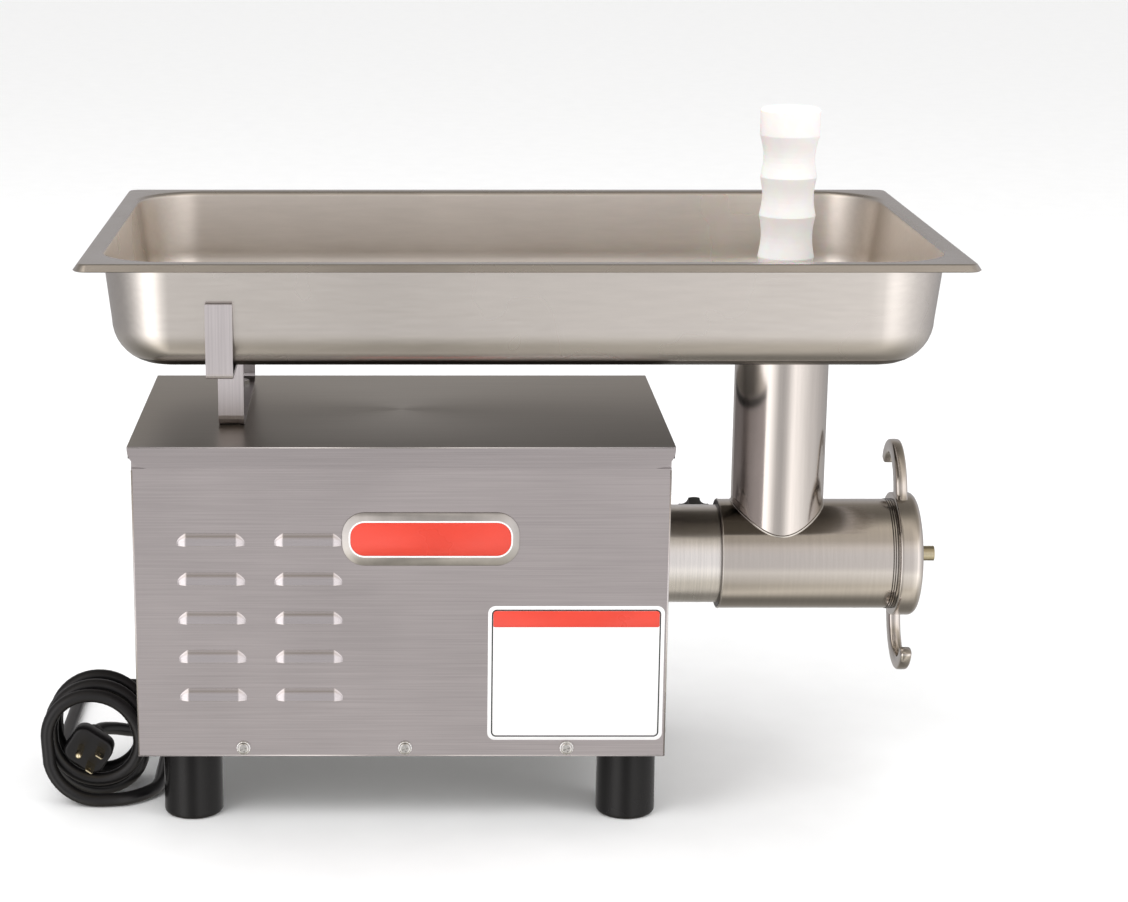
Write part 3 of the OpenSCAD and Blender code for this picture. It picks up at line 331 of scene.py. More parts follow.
# The lip's slope in degrees, its face's direction, its tip (out, down from the rim) and how that is rounded
LIP_SLOPE = 54.5
LIP_NORMAL = (0.81, 0.58)
LIP_TIP = (13.0, 4.2)
TIP_ROUND = (0.3, 0.42)
WALL_STEPS = 5
# The bend from the wall to the floor, and the height at which it starts
FLOOR_R = 28.0
FLOOR_STEPS = 10
LOW_Z = 346.5
# How far the flat floor lies inside the top of the wall, and how its points are shared out: degrees
# between rays from the spout, and the least share of a side from its corners
FLOOR_IN = 33
RAY_STEP = 6
CLEAR_OF_CORNER = 0.01
SPOUT_R = 27.45
SPOUT_WALL = 1.5
SPOUT_END = 294.9
# Out from the spout's bore and down from the floor
SPOUT_FLARE = [(9, 0), (2.2, 0), (1.0, 0.35), (0.3, 1.0), (0, 2.2)]


def tray_corner(offset):
    """Corner radius of the ring that lies this far outside the top of the wall."""
    if offset <= RIM_START:
        return WALL_CORNER + offset
    if offset < RIM_END:
        return WALL_CORNER + RIM_START - (offset - RIM_START) * CORNER_LOSS
    return offset - LIP_CENTRE


def side_fractions(turn):
    """Where rays from the spout cross one straight side of the floor, as shares of its length."""
    hx, hy, r = WALL_HALF[0] - FLOOR_IN, WALL_HALF[1] - FLOOR_IN, WALL_CORNER - FLOOR_IN
    start, end = [Vector(point) for point in [
        ((hx - r, hy), (-hx + r, hy)),
        ((-hx, hy - r), (-hx, -hy + r)),
        ((-hx + r, -hy), (hx - r, -hy)),
        ((hx, -hy + r), (hx, hy - r)),
    ][turn]]
    along = end - start
    gap = Vector((FEED_X - TRAY_X, 0.0)) - start
    found = []
    for k in range(360 // RAY_STEP):
        angle = math.radians(RAY_STEP * (k + 0.5))
        ray = Vector((math.cos(angle), math.sin(angle)))
        det = along.x * -ray.y + ray.x * along.y
        if abs(det) < 1e-9:
            continue
        share = (gap.x * -ray.y + ray.x * gap.y) / det
        ahead = (along.x * gap.y - along.y * gap.x) / det
        if CLEAR_OF_CORNER < share < 1 - CLEAR_OF_CORNER and ahead > 0:
            found.append(share)
    return sorted(found)


SIDES = [side_fractions(turn) for turn in range(4)]


def tray_ring(offset, z):
    """A level ring round the tray, with the same points in the same order at every offset."""
    outline = [
        Vector((TRAY_X + x, y, z)) for x, y in
        rounded_outline(WALL_HALF[0] + offset, WALL_HALF[1] + offset, tray_corner(offset), CORNER_STEPS)
    ]
    each = CORNER_STEPS + 1
    ring = []
    for turn in range(4):
        corner = outline[turn * each:(turn + 1) * each]
        next_start = outline[(turn + 1) * each % len(outline)]
        ring += corner + [corner[-1].lerp(next_start, share) for share in SIDES[turn]]
    return ring


SPOUT_RAYS = [Vector((p.x - FEED_X, p.y)).normalized() for p in tray_ring(-FLOOR_IN, 0.0)]


def spout_ring(r, z):
    return [Vector((FEED_X + r * ray.x, r * ray.y, z)) for ray in SPOUT_RAYS]


def tray_skin(depth):
    """Rings of one face of the sheet, from the lip to the spout, at a depth below its upper face."""
    tip = (LIP_TIP[0] - depth * LIP_NORMAL[0], RIM_Z - LIP_TIP[1] - depth * LIP_NORMAL[1])
    places = [tip, (tip[0] - TIP_ROUND[0], tip[1] + TIP_ROUND[1])]
    for k in range(BEND_STEPS, -1, -1):
        a = math.radians(LIP_SLOPE * k / BEND_STEPS)
        r = LIP_BEND - depth
        places.append((RIM_END + r * math.sin(a), RIM_Z - LIP_BEND + r * math.cos(a)))
    for k in range(BEND_STEPS, -1, -1):
        a = math.radians(90 * k / BEND_STEPS)
        r = RIM_BEND - depth
        places.append((RIM_START - r * math.cos(a), RIM_Z - RIM_BEND + r * math.sin(a)))
    top = RIM_Z - RIM_BEND
    for k in range(1, WALL_STEPS):
        z = top + (LOW_Z - top) * k / WALL_STEPS
        places.append(((z - RIM_Z) * WALL_LEAN - SHEET + depth, z))
    for k in range(FLOOR_STEPS + 1):
        a = math.radians(90 * k / FLOOR_STEPS)
        r = FLOOR_R - SHEET + depth
        places.append(((LOW_Z - RIM_Z) * WALL_LEAN - FLOOR_R + r * math.cos(a), LOW_Z - r * math.sin(a)))
    floor_z = LOW_Z - (FLOOR_R - SHEET + depth)
    bore = SPOUT_R + depth * SPOUT_WALL
    return (
        [tray_ring(offset, z) for offset, z in places]
        + [spout_ring(bore + out, floor_z - down) for out, down in SPOUT_FLARE]
        + [spout_ring(bore, SPOUT_END)]
    )


inside = tray_skin(0.0)
outside = tray_skin(SHEET)
tray = piece("tray_pressing", inside + outside[::-1], close_loop=True)
TRAY_INSIDE_FACES = (len(inside) - 1) * len(SPOUT_RAYS)
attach(tray, "tray")
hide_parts("tray")
sharpen(tray, 50)

# ---------------------------------------------------------------- small parts of the head

AXIS_Z = 158.5
BARREL_R = 38.0
# The bead where the feed tube meets the barrel
FEED_TUBE_R = 31.75
WELD_R = 0.9
WELD_STEPS = 144
ROUND_STEPS = 96
BEAD_SIDES = 10
# Beads on the barrel: how far their middle lies inside its surface, and their own radius
LIP_X = 135.7
LIP_BEAD = (0.25, 0.55)
THREAD_BEAD = (0.1, 0.45)
THREAD_XS = (252.0, 253.5, 255.0)
END_FACE_X = 134.95
END_FACE_T = 0.15
END_FACE_R = (34.1, 37.3)


def round_axis(x, r, steps=ROUND_STEPS):
    """A circle about the head's axis."""
    return [(x, r * c, AXIS_Z + r * s) for c, s in circle(steps)]


def bead(name, x, sunk, r):
    """A fine bead round the barrel."""
    line = round_axis(x, BARREL_R - sunk)
    return piece(name, tube_rings(line, r, BEAD_SIDES, closed=True), close_loop=True)


def turned(name, profile, steps):
    """A ring turned about the head's axis; profile is a closed line of (x, radius)."""
    return sharpen(piece(name, [round_axis(x, r, steps) for x, r in profile], close_loop=True))


def rounding(x, r, radius, start, end, steps=8):
    """Part of a circle in a turned profile, from one angle in degrees to another."""
    return [
        (x + radius * math.cos(math.radians(start + (end - start) * k / steps)),
         r + radius * math.sin(math.radians(start + (end - start) * k / steps)))
        for k in range(steps + 1)
    ]


saddle = [
    (FEED_X + FEED_TUBE_R * c, FEED_TUBE_R * s, AXIS_Z + math.sqrt(BARREL_R**2 - (FEED_TUBE_R * s) ** 2))
    for c, s in circle(WELD_STEPS)
]
weld = piece("saddle_weld", tube_rings(saddle, WELD_R, 8, closed=True), close_loop=True)
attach(weld, "root")

barrel_lip = bead("barrel_lip", LIP_X, *LIP_BEAD)
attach(barrel_lip, "root")
# The thread beads and the thin ring on the barrel's end face get near-black steel: painted shadow
threads = joined("barrel_thread", [bead("turn", x, *THREAD_BEAD) for x in THREAD_XS])
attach(threads, "root")
end_face = turned("barrel_end_face", [
    (END_FACE_X, END_FACE_R[0]), (END_FACE_X - END_FACE_T, END_FACE_R[0]),
    (END_FACE_X - END_FACE_T, END_FACE_R[1]), (END_FACE_X, END_FACE_R[1]),
], ROUND_STEPS)
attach(end_face, "root")

# ---------------------------------------------------------------- ring nut

# Places along the head's axis, radii, and the roundings of the edges
NUT_BACK = 256.0
NUT_FRONT = 272.0
NUT_R = 42.8
NUT_BORE = 38.1
BAND = (258.5, 263.5)
WINDOW_R = 31.0
SEAT_X = 266.4
BACK_EDGE = 1.0
FRONT_EDGE = 5.0
WINDOW_EDGE = 0.8

ring_body = turned(
    "ring_body",
    [(NUT_BACK, NUT_BORE)]
    + rounding(NUT_BACK + BACK_EDGE, NUT_R - BACK_EDGE, BACK_EDGE, 180, 90, 4)
    + [(x, NUT_R) for x in BAND]
    + rounding(NUT_FRONT - FRONT_EDGE, NUT_R - FRONT_EDGE, FRONT_EDGE, 90, 0)
    + rounding(NUT_FRONT - WINDOW_EDGE, WINDOW_R + WINDOW_EDGE, WINDOW_EDGE, 0, -90, 4)
    + [(SEAT_X, WINDOW_R), (SEAT_X, NUT_BORE)],
    128,
)

# The upper horn's middle line: across and up from the head's axis
HORN_LINE = [(-3.5, 36.0), (-3.0, 40.5), (-2.0, 46.0), (0.3, 52.2), (4.0, 58.5), (9.5, 64.3), (16.5, 68.6),
             (24.5, 70.3), (32.5, 69.2), (39.5, 65.4), (44.3, 60.3), (46.6, 55.6)]
HORN_X = 261.0
HORN_SIDES = 20
# Half width and half thickness at the root, and what they lose towards the tip
HORN_HALF_W, HORN_TAPER_W = 6.6, 2.6
HORN_HALF_T, HORN_TAPER_T = 4.4, 0.5
# The root is wider by this much, and the extra width is gone after this share of the horn
ROOT_FLARE = 7.0
ROOT_SHARE = 0.2
END_SCALE = 0.88
# A power of 1 would make the section an ellipse, and a smaller one makes it squarer
SECTION_POWER = 0.45


def horn(name, side):
    """One horn of the ring nut, rounded in section; side is 1 for the upper and -1 for the lower."""
    line = smooth_route([(y, z, 0) for y, z in HORN_LINE], 4)
    last = len(line) - 1
    rings = []
    for i, point in enumerate(line):
        along = (line[min(i + 1, last)] - line[max(i - 1, 0)]).normalized()
        out = Vector((-along.y, along.x, 0))
        share = i / last
        scale = END_SCALE if i in (0, last) else 1.0
        flare = ROOT_FLARE * (max(0.0, ROOT_SHARE - share) / ROOT_SHARE) ** 2
        half_w = scale * (HORN_HALF_W - HORN_TAPER_W * share + flare)
        half_t = scale * (HORN_HALF_T - HORN_TAPER_T * share)
        ring = []
        for c, s in circle(HORN_SIDES):
            spot = point + out * half_w * math.copysign(abs(c) ** SECTION_POWER, c)
            raised = half_t * math.copysign(abs(s) ** SECTION_POWER, s)
            ring.append((HORN_X + raised, side * spot.x, AXIS_Z + side * spot.y))
        rings.append(ring)
    return sharpen(piece(name, rings, caps=True), 60)


horns = joined("ring_horns", [horn("upper", 1), horn("lower", -1)])
for obj in (ring_body, horns):
    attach(obj, "ring_nut")
    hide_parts("ring_nut")

# ---------------------------------------------------------------- badge and label

HOUSING_X = (-259.0, 91.0)
HOUSING_Y = 108.5
FACE_Y = -HOUSING_Y
PLATE_CORNER_STEPS = 10


def plate_ring(centre, half, r, y):
    outline = rounded_outline(*half, r, PLATE_CORNER_STEPS)
    return [(centre[0] + x, y, centre[1] + z) for x, z in outline]


def plate(name, centre, half, corner, base, top, rim):
    """A thin plate between two heights above the front panel, with its outer edge rounded off by rim."""
    inner = (half[0] - rim, half[1] - rim)
    rings = [
        plate_ring(centre, half, corner, FACE_Y - base),
        plate_ring(centre, half, corner, FACE_Y - top + rim),
        plate_ring(centre, inner, corner - rim, FACE_Y - top),
    ]
    return sharpen(piece(name, rings, caps=True), 50)


def frame_line(name, centre, half, corner, width, base, top):
    """A thin closed line standing on a plate."""
    rings = []
    for inset, height in ((0, base), (0, top), (width, top), (width, base)):
        inner = (half[0] - inset, half[1] - inset)
        rings.append(plate_ring(centre, inner, corner - inset, FACE_Y - height))
    return sharpen(piece(name, rings, close_loop=True))


BADGE = (-64.8, 199.8)
LABEL = (31.0, 107.6)
LABEL_BAND = (LABEL[0], LABEL[1] + 37.6)
badge = plate("badge_backing", BADGE, (58, 18), 15, base=0.0, top=0.7, rim=0.3)
badge_line = frame_line("badge_line", BADGE, (53.5, 12.3), 10.5, width=1.0, base=0.6, top=1.1)
badge_field = plate("badge_field", BADGE, (52.4, 11.2), 9.4, base=0.6, top=1.0, rim=0.2)
label = plate("label_sheet", LABEL, (58, 46.5), 5, base=0.0, top=0.35, rim=0.12)
label_line = frame_line("label_line", LABEL, (55.6, 44.2), 3.4, width=0.9, base=0.3, top=0.42)
label_band = plate("label_band", LABEL_BAND, (54.6, 5.6), 1.2, base=0.3, top=0.4, rim=0.05)
for obj in (badge, badge_line, badge_field):
    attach(obj, "root")
    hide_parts("badge_plate")
for obj in (label, label_line, label_band):
    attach(obj, "root")
    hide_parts("caution_plate")

# ---------------------------------------------------------------- drawn skins of the louvres

LOUVRE_XS = (-208.3, -144.8)
LOUVRE_TOP = 203.9
LOUVRE_PITCH = 26.6
LOUVRE_ROWS = 5
LOUVRE_L = 33.0
LOUVRE_H = 8.4
LOUVRE_END = 5.5
# The drawn ends: steps, how they crowd towards the tip, how they fill out, and the least height share
END_STEPS = 12
END_CROWD = 1.6
END_FILL = 0.6
END_LEAST = 0.08
# How much of the height the top edge drops by at the tip
END_DROP = 0.7
# Extra rings inside the straight part, in from its end
FLAT_STEPS = (0.8, 2.0, 5.0)
# Share of the height and how far the skin stands out there, from the top to the lip
LOUVRE_PROFILE = [
    (0.0, -0.15), (0.04, 0.04), (0.1, 0.26), (0.16, 0.46), (0.25, 0.86), (0.34, 1.32), (0.43, 1.58),
    (0.55, 1.82), (0.7, 2.08), (0.85, 2.32), (0.97, 2.52), (1.01, 2.52), (1.035, 2.42),
]
# The hidden side of the skin, from the lip back to the top
LOUVRE_BACK = [(1.035, 1.6), (0.97, 1.6), (0.7, 1.5), (0.43, 1.1), (0.25, 0.45), (0.1, -0.05), (0.0, -0.3)]

LOUVRE_SKINS = []


def louvre_skin(x, top, face):
    """One louvre with drawn, domed ends; face is -1 on the front sheet and 1 on the back one."""
    spans = []
    for k in range(END_STEPS + 1):
        share = (k / END_STEPS) ** END_CROWD
        spans.append((-LOUVRE_L / 2 - LOUVRE_END * (1 - share), max(END_LEAST, share**END_FILL)))
    spans += [(-LOUVRE_L / 2 + step, 1.0) for step in FLAT_STEPS]
    spans += [(-along, fill) for along, fill in spans[::-1]]
    rings = []
    for along, fill in spans:
        upper = top - END_DROP * LOUVRE_H * (1 - fill)
        fall = upper - (top - LOUVRE_H)
        rings.append([
            (x + along, face * (HOUSING_Y + out * fill), upper - fall * share)
            for share, out in LOUVRE_PROFILE + LOUVRE_BACK
        ])
    return piece("skin", rings, caps=True)


for name, face in (("louvre_skins_front", -1), ("louvre_skins_back", 1)):
    skins = joined(name, [
        louvre_skin(x, LOUVRE_TOP - LOUVRE_PITCH * row, face) for x in LOUVRE_XS for row in range(LOUVRE_ROWS)
    ])
    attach(skins, "root")
    sharpen(skins, 50)
    LOUVRE_SKINS.append(skins)

# ---------------------------------------------------------------- flanges under the screw heads

SCREW_XS = (-189.0, -81.6, 25.8)
SCREW_Z = 55.5
SIDE_SCREW_Z = 60.0
SIDE_SCREW_Y = 85.0
# Height above the sheet and radius
FLANGE = [(-0.1, 4.5), (0.35, 4.75), (0.8, 4.6), (1.15, 4.0), (1.2, 3.2)]
TEETH = 14
TOOTH_DEPTH = 0.14
FLANGE_STEPS = 84


def screw_flange(place):
    """A flange with a finely waved rim."""
    waves = [TOOTH_DEPTH * math.cos(2 * math.pi * TEETH * k / FLANGE_STEPS) for k in range(FLANGE_STEPS)]
    rings = [
        [((r + wave) * c, (r + wave) * s, height) for wave, (c, s) in zip(waves, circle(FLANGE_STEPS))]
        for height, r in FLANGE
    ]
    return piece("flange", rings, place, caps=True)


def facing(point, outward_axis):
    """Puts a piece made along +Z at a point, facing along an axis."""
    return Matrix.Translation(point) @ Vector(outward_axis).to_track_quat("Z", "Y").to_matrix().to_4x4()


screw_places = [facing((x, s * HOUSING_Y, SCREW_Z), (0, s, 0)) for x in SCREW_XS for s in (-1, 1)]
for y in (-SIDE_SCREW_Y, SIDE_SCREW_Y):
    screw_places += [facing((x, y, SIDE_SCREW_Z), (s, 0, 0)) for x, s in zip(HOUSING_X, (-1, 1))]
flanges = joined("screw_flanges", [screw_flange(place) for place in screw_places])
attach(flanges, "root")

# ---------------------------------------------------------------- folded edges of the housing

PANEL_Z = (50.0, 246.0)
COVER_Z = 261.0
# Radii of the folds, and how far their middle lines lie inside the housing's faces or run past its ends
FOLD_UPRIGHT, FOLD_BOTTOM, FOLD_COVER = 0.62, 0.55, 0.5
FOLD_IN = 0.4
BOTTOM_IN = 0.6
BOTTOM_UP = 0.1
COVER_IN = 0.3
COVER_PAST = 1.5
FOLD_SIDES = 10


def fold(start, end, radius):
    return piece("fold", tube_rings([start, end], radius, FOLD_SIDES), caps=True)


left, right = HOUSING_X
front_y = FACE_Y + FOLD_IN
bottom_z = PANEL_Z[0] + BOTTOM_UP
edges = [
    fold((x, front_y, PANEL_Z[0]), (x, front_y, PANEL_Z[1]), FOLD_UPRIGHT)
    for x in (left + FOLD_IN, right - FOLD_IN)
]
edges.append(fold((left + BOTTOM_IN, front_y, bottom_z), (right - BOTTOM_IN, front_y, bottom_z), FOLD_BOTTOM))
for y in (FACE_Y + COVER_IN, HOUSING_Y - COVER_IN):
    edges.append(fold((left - COVER_PAST, y, COVER_Z), (right + COVER_PAST, y, COVER_Z), FOLD_COVER))
folds = joined("folded_edges", edges)
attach(folds, "root")

# ---------------------------------------------------------------- materials

# The middle part of a noise's values, which a ramp or a span is stretched over
NOISE_MIDDLE = (0.3, 0.7)
# Depths of the bump, in metres
GRAIN_DEPTH = 0.00004
SKIN_DEPTH = 0.0001
# Where a colour Mix node keeps its colours, whose sockets share their names with other types
MIX_A, MIX_B, MIX_RESULT = 6, 7, 2
# Noise scales per metre of the slow changes in tone, on steel and on plastic
STEEL_CLOUD = (9, 9, 9)
PLASTIC_CLOUD = (25, 25, 25)


class Shader:
    """One node material, with short ways to add the nodes it is made of."""

    def __init__(self, name, base, metallic=0.0, rough=0.5, **sockets):
        self.material = bpy.data.materials.new(name)
        self.material.use_nodes = True
        self.tree = self.material.node_tree
        self.bsdf = self.tree.nodes["Principled BSDF"]
        self.bsdf.inputs["Base Color"].default_value = (*base, 1.0)
        self.bsdf.inputs["Metallic"].default_value = metallic
        self.bsdf.inputs["Roughness"].default_value = rough
        for key, value in sockets.items():
            self.bsdf.inputs[key.replace("_", " ")].default_value = value
        self.coords = self.tree.nodes.new("ShaderNodeTexCoord")

    def noise(self, scale, detail, rough=0.55):
        mapping = self.tree.nodes.new("ShaderNodeMapping")
        mapping.inputs["Scale"].default_value = scale
        texture = self.tree.nodes.new("ShaderNodeTexNoise")
        texture.inputs["Scale"].default_value = 1.0
        texture.inputs["Detail"].default_value = detail
        texture.inputs["Roughness"].default_value = rough
        self.tree.links.new(self.coords.outputs["Object"], mapping.inputs["Vector"])
        self.tree.links.new(mapping.outputs["Vector"], texture.inputs["Vector"])
        return texture.outputs["Fac"]

    def ramp(self, fac, low, high):
        node = self.tree.nodes.new("ShaderNodeValToRGB")
        for element, at, colour in zip(node.color_ramp.elements, NOISE_MIDDLE, (low, high)):
            element.position = at
            element.color = (*colour, 1.0)
        self.tree.links.new(fac, node.inputs["Fac"])
        return node.outputs["Color"]

    def span(self, fac, low, high):
        node = self.tree.nodes.new("ShaderNodeMapRange")
        node.inputs["From Min"].default_value = NOISE_MIDDLE[0]
        node.inputs["From Max"].default_value = NOISE_MIDDLE[1]
        node.inputs["To Min"].default_value = low
        node.inputs["To Max"].default_value = high
        self.tree.links.new(fac, node.inputs["Value"])
        return node.outputs["Result"]

    def bump(self, fac, strength, distance):
        node = self.tree.nodes.new("ShaderNodeBump")
        node.inputs["Strength"].default_value = strength
        node.inputs["Distance"].default_value = distance
        self.tree.links.new(fac, node.inputs["Height"])
        self.tree.links.new(node.outputs["Normal"], self.bsdf.inputs["Normal"])

    def to(self, output, socket):
        self.tree.links.new(output, self.bsdf.inputs[socket])


def shade(colour, factor):
    return tuple(max(0.0, min(1.0, c * factor)) for c in colour)


def brushed(name, base, rough, grain, strength=0.25, aniso=0.4, contrast=0.10):
    """Steel with straight grain. grain is the noise scale per metre along X, Y and Z."""
    s = Shader(name, base, 1.0, rough, Anisotropic=aniso)
    lines = s.noise(grain, 5.0, 0.6)
    cloud = s.noise(STEEL_CLOUD, 3.0)
    s.to(s.ramp(lines, shade(base, 1 - contrast), shade(base, 1 + contrast)), "Base Color")
    s.to(s.span(cloud, rough - 0.05, rough + 0.05), "Roughness")
    s.bump(lines, strength, GRAIN_DEPTH)
    return s.material


def moulded(name, base, rough, grain=900, strength=0.15, vary=0.12, **sockets):
    """Moulded plastic or rubber with a fine skin texture."""
    s = Shader(name, base, 0.0, rough, **sockets)
    skin = s.noise((grain, grain, grain), 3.0)
    cloud = s.noise(PLASTIC_CLOUD, 3.0)
    s.to(s.ramp(cloud, shade(base, 1 - vary), shade(base, 1 + vary)), "Base Color")
    s.to(s.span(cloud, rough - 0.05, rough + 0.06), "Roughness")
    s.bump(skin, strength, SKIN_DEPTH)
    return s.material


def painted_top_shade(name, low, high, rough, grain, start, end, contrast=0.1):
    """Brushed steel with painted shade on its upper faces: the tone changes from low to high as the face
    turns upwards, between two values of the normal's Z.
    """
    s = Shader(name, low, 1.0, rough, Anisotropic=0.4)
    lines = s.noise(grain, 5.0, 0.6)
    geometry = s.tree.nodes.new("ShaderNodeNewGeometry")
    split = s.tree.nodes.new("ShaderNodeSeparateXYZ")
    s.tree.links.new(geometry.outputs["Normal"], split.inputs["Vector"])
    reach = s.tree.nodes.new("ShaderNodeMapRange")
    reach.inputs["From Min"].default_value = start
    reach.inputs["From Max"].default_value = end
    s.tree.links.new(split.outputs["Z"], reach.inputs["Value"])
    mix = s.tree.nodes.new("ShaderNodeMix")
    mix.data_type = "RGBA"
    s.tree.links.new(reach.outputs["Result"], mix.inputs["Factor"])
    for tone, socket in ((low, MIX_A), (high, MIX_B)):
        varied = s.ramp(lines, shade(tone, 1 - contrast), shade(tone, 1 + contrast))
        s.tree.links.new(varied, mix.inputs[socket])
    s.to(mix.outputs[MIX_RESULT], "Base Color")
    s.bump(lines, 0.2, GRAIN_DEPTH)
    return s.material


# Noise scales of the brushed grain, per metre along X, Y and Z
ALONG_X, ALONG_Y, ALONG_Z = (12, 1500, 1500), (1500, 12, 1500), (1500, 1500, 12)
STEEL = (0.415, 0.384, 0.386)
# brushed: colour, roughness, grain, bump strength, anisotropy, contrast
# moulded: colour, roughness, grain per metre, bump strength, variation
MATERIALS = {
    "panel": brushed("panel_steel", STEEL, 0.38, ALONG_X),
    "side": brushed("side_steel", STEEL, 0.38, ALONG_Y),
    # painted highlight: the louvre skins get a lighter copy of the panel steel; their domed ends and low
    # roughness also catch real highlights
    "louvre": brushed("louvre_painted_highlight_steel", (0.57, 0.536, 0.54), 0.24, ALONG_X, 0.1, 0.2, 0.05),
    # painted highlight: the folded edges get a lighter copy of the panel steel; their rounding also catches
    # real light
    "fold": brushed("fold_painted_highlight_steel", (0.62, 0.59, 0.58), 0.25, (300, 300, 300), 0.05, 0.0, 0.04),
    # painted shade: the cover's upward faces get a darker, browner tone than its sides
    "cover": painted_top_shade("cover_steel_painted_top_shade", STEEL, (0.40, 0.362, 0.31), 0.32, ALONG_X, 0.5, 0.9),
    "tray": brushed("tray_steel", (0.64, 0.605, 0.575), 0.26, (40, 300, 300), 0.05, 0.2, 0.03),
    # painted reflection: a lighter, warmer copy of the tray steel for the inside of the bowl
    "tray_in": brushed("tray_inside_painted_reflection", (0.69, 0.635, 0.575), 0.30, (40, 300, 300), 0.05, 0.2, 0.03),
    # painted shade: a near-black copy of the tray steel for the underside of the bowl
    "tray_under": brushed("tray_underside_painted_shade", (0.15, 0.135, 0.12), 0.34, (40, 300, 300), 0.05, 0.2, 0.05),
    "polished": brushed("polished_steel", (0.62, 0.58, 0.54), 0.14, (600, 25, 25), 0.03, 0.4, 0.03),
    "neck": brushed("neck_steel", (0.88, 0.85, 0.82), 0.27, (900, 20, 20), 0.10, 0.5, 0.06),
    "weld": brushed("weld_steel", (0.66, 0.63, 0.59), 0.22, (500, 500, 500), 0.15, 0.0, 0.08),
    # painted shadow: near-black steel on the thread beads and the barrel's end face ring
    "shadow_steel": brushed("painted_shadow_steel", (0.11, 0.10, 0.09), 0.35, (900, 60, 60), 0.1, 0.2, 0.1),
    "strap": brushed("strap_steel", (0.62, 0.585, 0.59), 0.34, ALONG_Z),
    "zinc": brushed("zinc_plate", (0.60, 0.59, 0.57), 0.24, (300, 300, 300), 0.1, 0.0, 0.06),
    "bright_zinc": brushed("bright_zinc", (0.86, 0.86, 0.85), 0.30, (400, 400, 400), 0.1, 0.0, 0.06),
    "foil": brushed("badge_foil", (0.44, 0.42, 0.40), 0.30, (70, 70, 70), 0.1, 0.0, 0.12),
    "galvanised": brushed("galvanised_steel", (0.42, 0.43, 0.44), 0.45, (60, 60, 60), 0.1, 0.0, 0.16),
    "tool": brushed("ground_steel", (0.45, 0.45, 0.44), 0.28, (500, 60, 60), 0.1, 0.3, 0.06),
    "cast": brushed("cast_aluminium", (0.42, 0.43, 0.43), 0.55, (700, 700, 700), 0.6, 0.0, 0.08),
    "core": brushed("core_plates", (0.22, 0.21, 0.20), 0.5, (2000, 30, 30), 0.5, 0.0, 0.2),
    "stud": brushed("stud_metal", (0.55, 0.49, 0.34), 0.28, (900, 60, 60), 0.1, 0.0, 0.06),
    "brass": brushed("pin_brass", (0.80, 0.70, 0.48), 0.22, (400, 400, 400), 0.05, 0.0, 0.05),
    "copper": brushed("winding_copper", (0.45, 0.17, 0.06), 0.35, (500, 2200, 2200), 0.6, 0.0, 0.2),
    "foot": moulded("foot_plastic", (0.007, 0.0065, 0.0065), 0.24, Specular_IOR_Level=0.22),
    "knob": moulded("knob_plastic", (0.012, 0.012, 0.012), 0.4),
    "rubber": moulded("rubber", (0.010, 0.010, 0.010), 0.55, 1400, 0.25),
    "cord": moulded("cord_jacket", (0.007, 0.0065, 0.007), 0.34, 1100, 0.2, Specular_IOR_Level=0.35),
    "rocker": moulded("rocker_plastic", (0.30, 0.012, 0.010), 0.3),
    "fibre": moulded("fibre", (0.10, 0.05, 0.028), 0.7, 400, 0.4, 0.25),
    "enamel": moulded("motor_enamel", (0.03, 0.035, 0.045), 0.35, 300, 0.2),
    "pusher": moulded(
        "pusher_plastic", (0.93, 0.92, 0.895), 0.42, 600, 0.08, 0.03,
        Subsurface_Weight=0.5, Subsurface_Scale=0.012,
    ),
    "white": moulded("label_film", (0.88, 0.875, 0.87), 0.4, 300, 0.05, 0.02),
    "red": moulded("red_enamel", (0.70, 0.050, 0.026), 0.3, 300, 0.05, 0.05),
    "ink": moulded("black_ink", (0.02, 0.02, 0.02), 0.4, 300, 0.05, 0.05),
}
FINISHES = {
    "panel": ["front_panel", "back_panel"],
    "side": ["left_panel", "right_panel"],
    "cover": ["top_cover"],
    "polished": ["grinding_head"],
    "neck": ["drive_neck"],
    "strap": ["tray_bracket"],
    "zinc": ["housing_screws", "bracket_bolts", "foot_bolts", "neck_bolts", "gearbox_bolts",
             "motor_bolts", "lock_stud"],
    "galvanised": ["base_pan", "motor_cradle"],
    "tool": ["auger", "auger_shank", "knife", "hole_plate", "plate_key", "output_shaft", "output_gear",
             "layshaft", "lay_gear", "motor_shaft", "output_bearings", "lay_bearings", "motor_bearings"],
    "cast": ["gearbox_case", "gearbox_cover", "motor_front_bell", "motor_rear_bell", "run_capacitor"],
    "core": ["stator_core", "rotor_core"],
    "stud": ["auger_stud"],
    "copper": ["stator_windings"],
    "foot": ["foot_front_left", "foot_front_right", "foot_rear_left", "foot_rear_right"],
    "knob": ["lock_knob", "cooling_fan", "switch_body"],
    "rubber": ["cover_seals", "shaft_seal"],
    "cord": ["cord_gland"],
    "rocker": ["switch_rocker"],
    "fibre": ["thrust_washer"],
    "enamel": ["motor_shell"],
    "pusher": ["pusher"],
}
NEW_PIECES = {
    "cord": [cord, plug_body],
    "brass": [plug_metal],
    "tray": [tray],
    "polished": [ring_body, horns],
    "weld": [weld, barrel_lip],
    "shadow_steel": [threads, end_face],
    "foil": [badge],
    "white": [badge_line, label],
    "red": [badge_field, label_band],
    "ink": [label_line],
    "louvre": LOUVRE_SKINS,
    "fold": [folds],
    "bright_zinc": [flanges],
}


def finish_with(obj, material):
    if not obj.material_slots:
        obj.data.materials.append(material)
    for slot in obj.material_slots:
        slot.material = material


for finish, names in FINISHES.items():
    for name in names:
        finish_with(NODES[name], MATERIALS[finish])
for finish, objects in NEW_PIECES.items():
    for obj in objects:
        finish_with(obj, MATERIALS[finish])

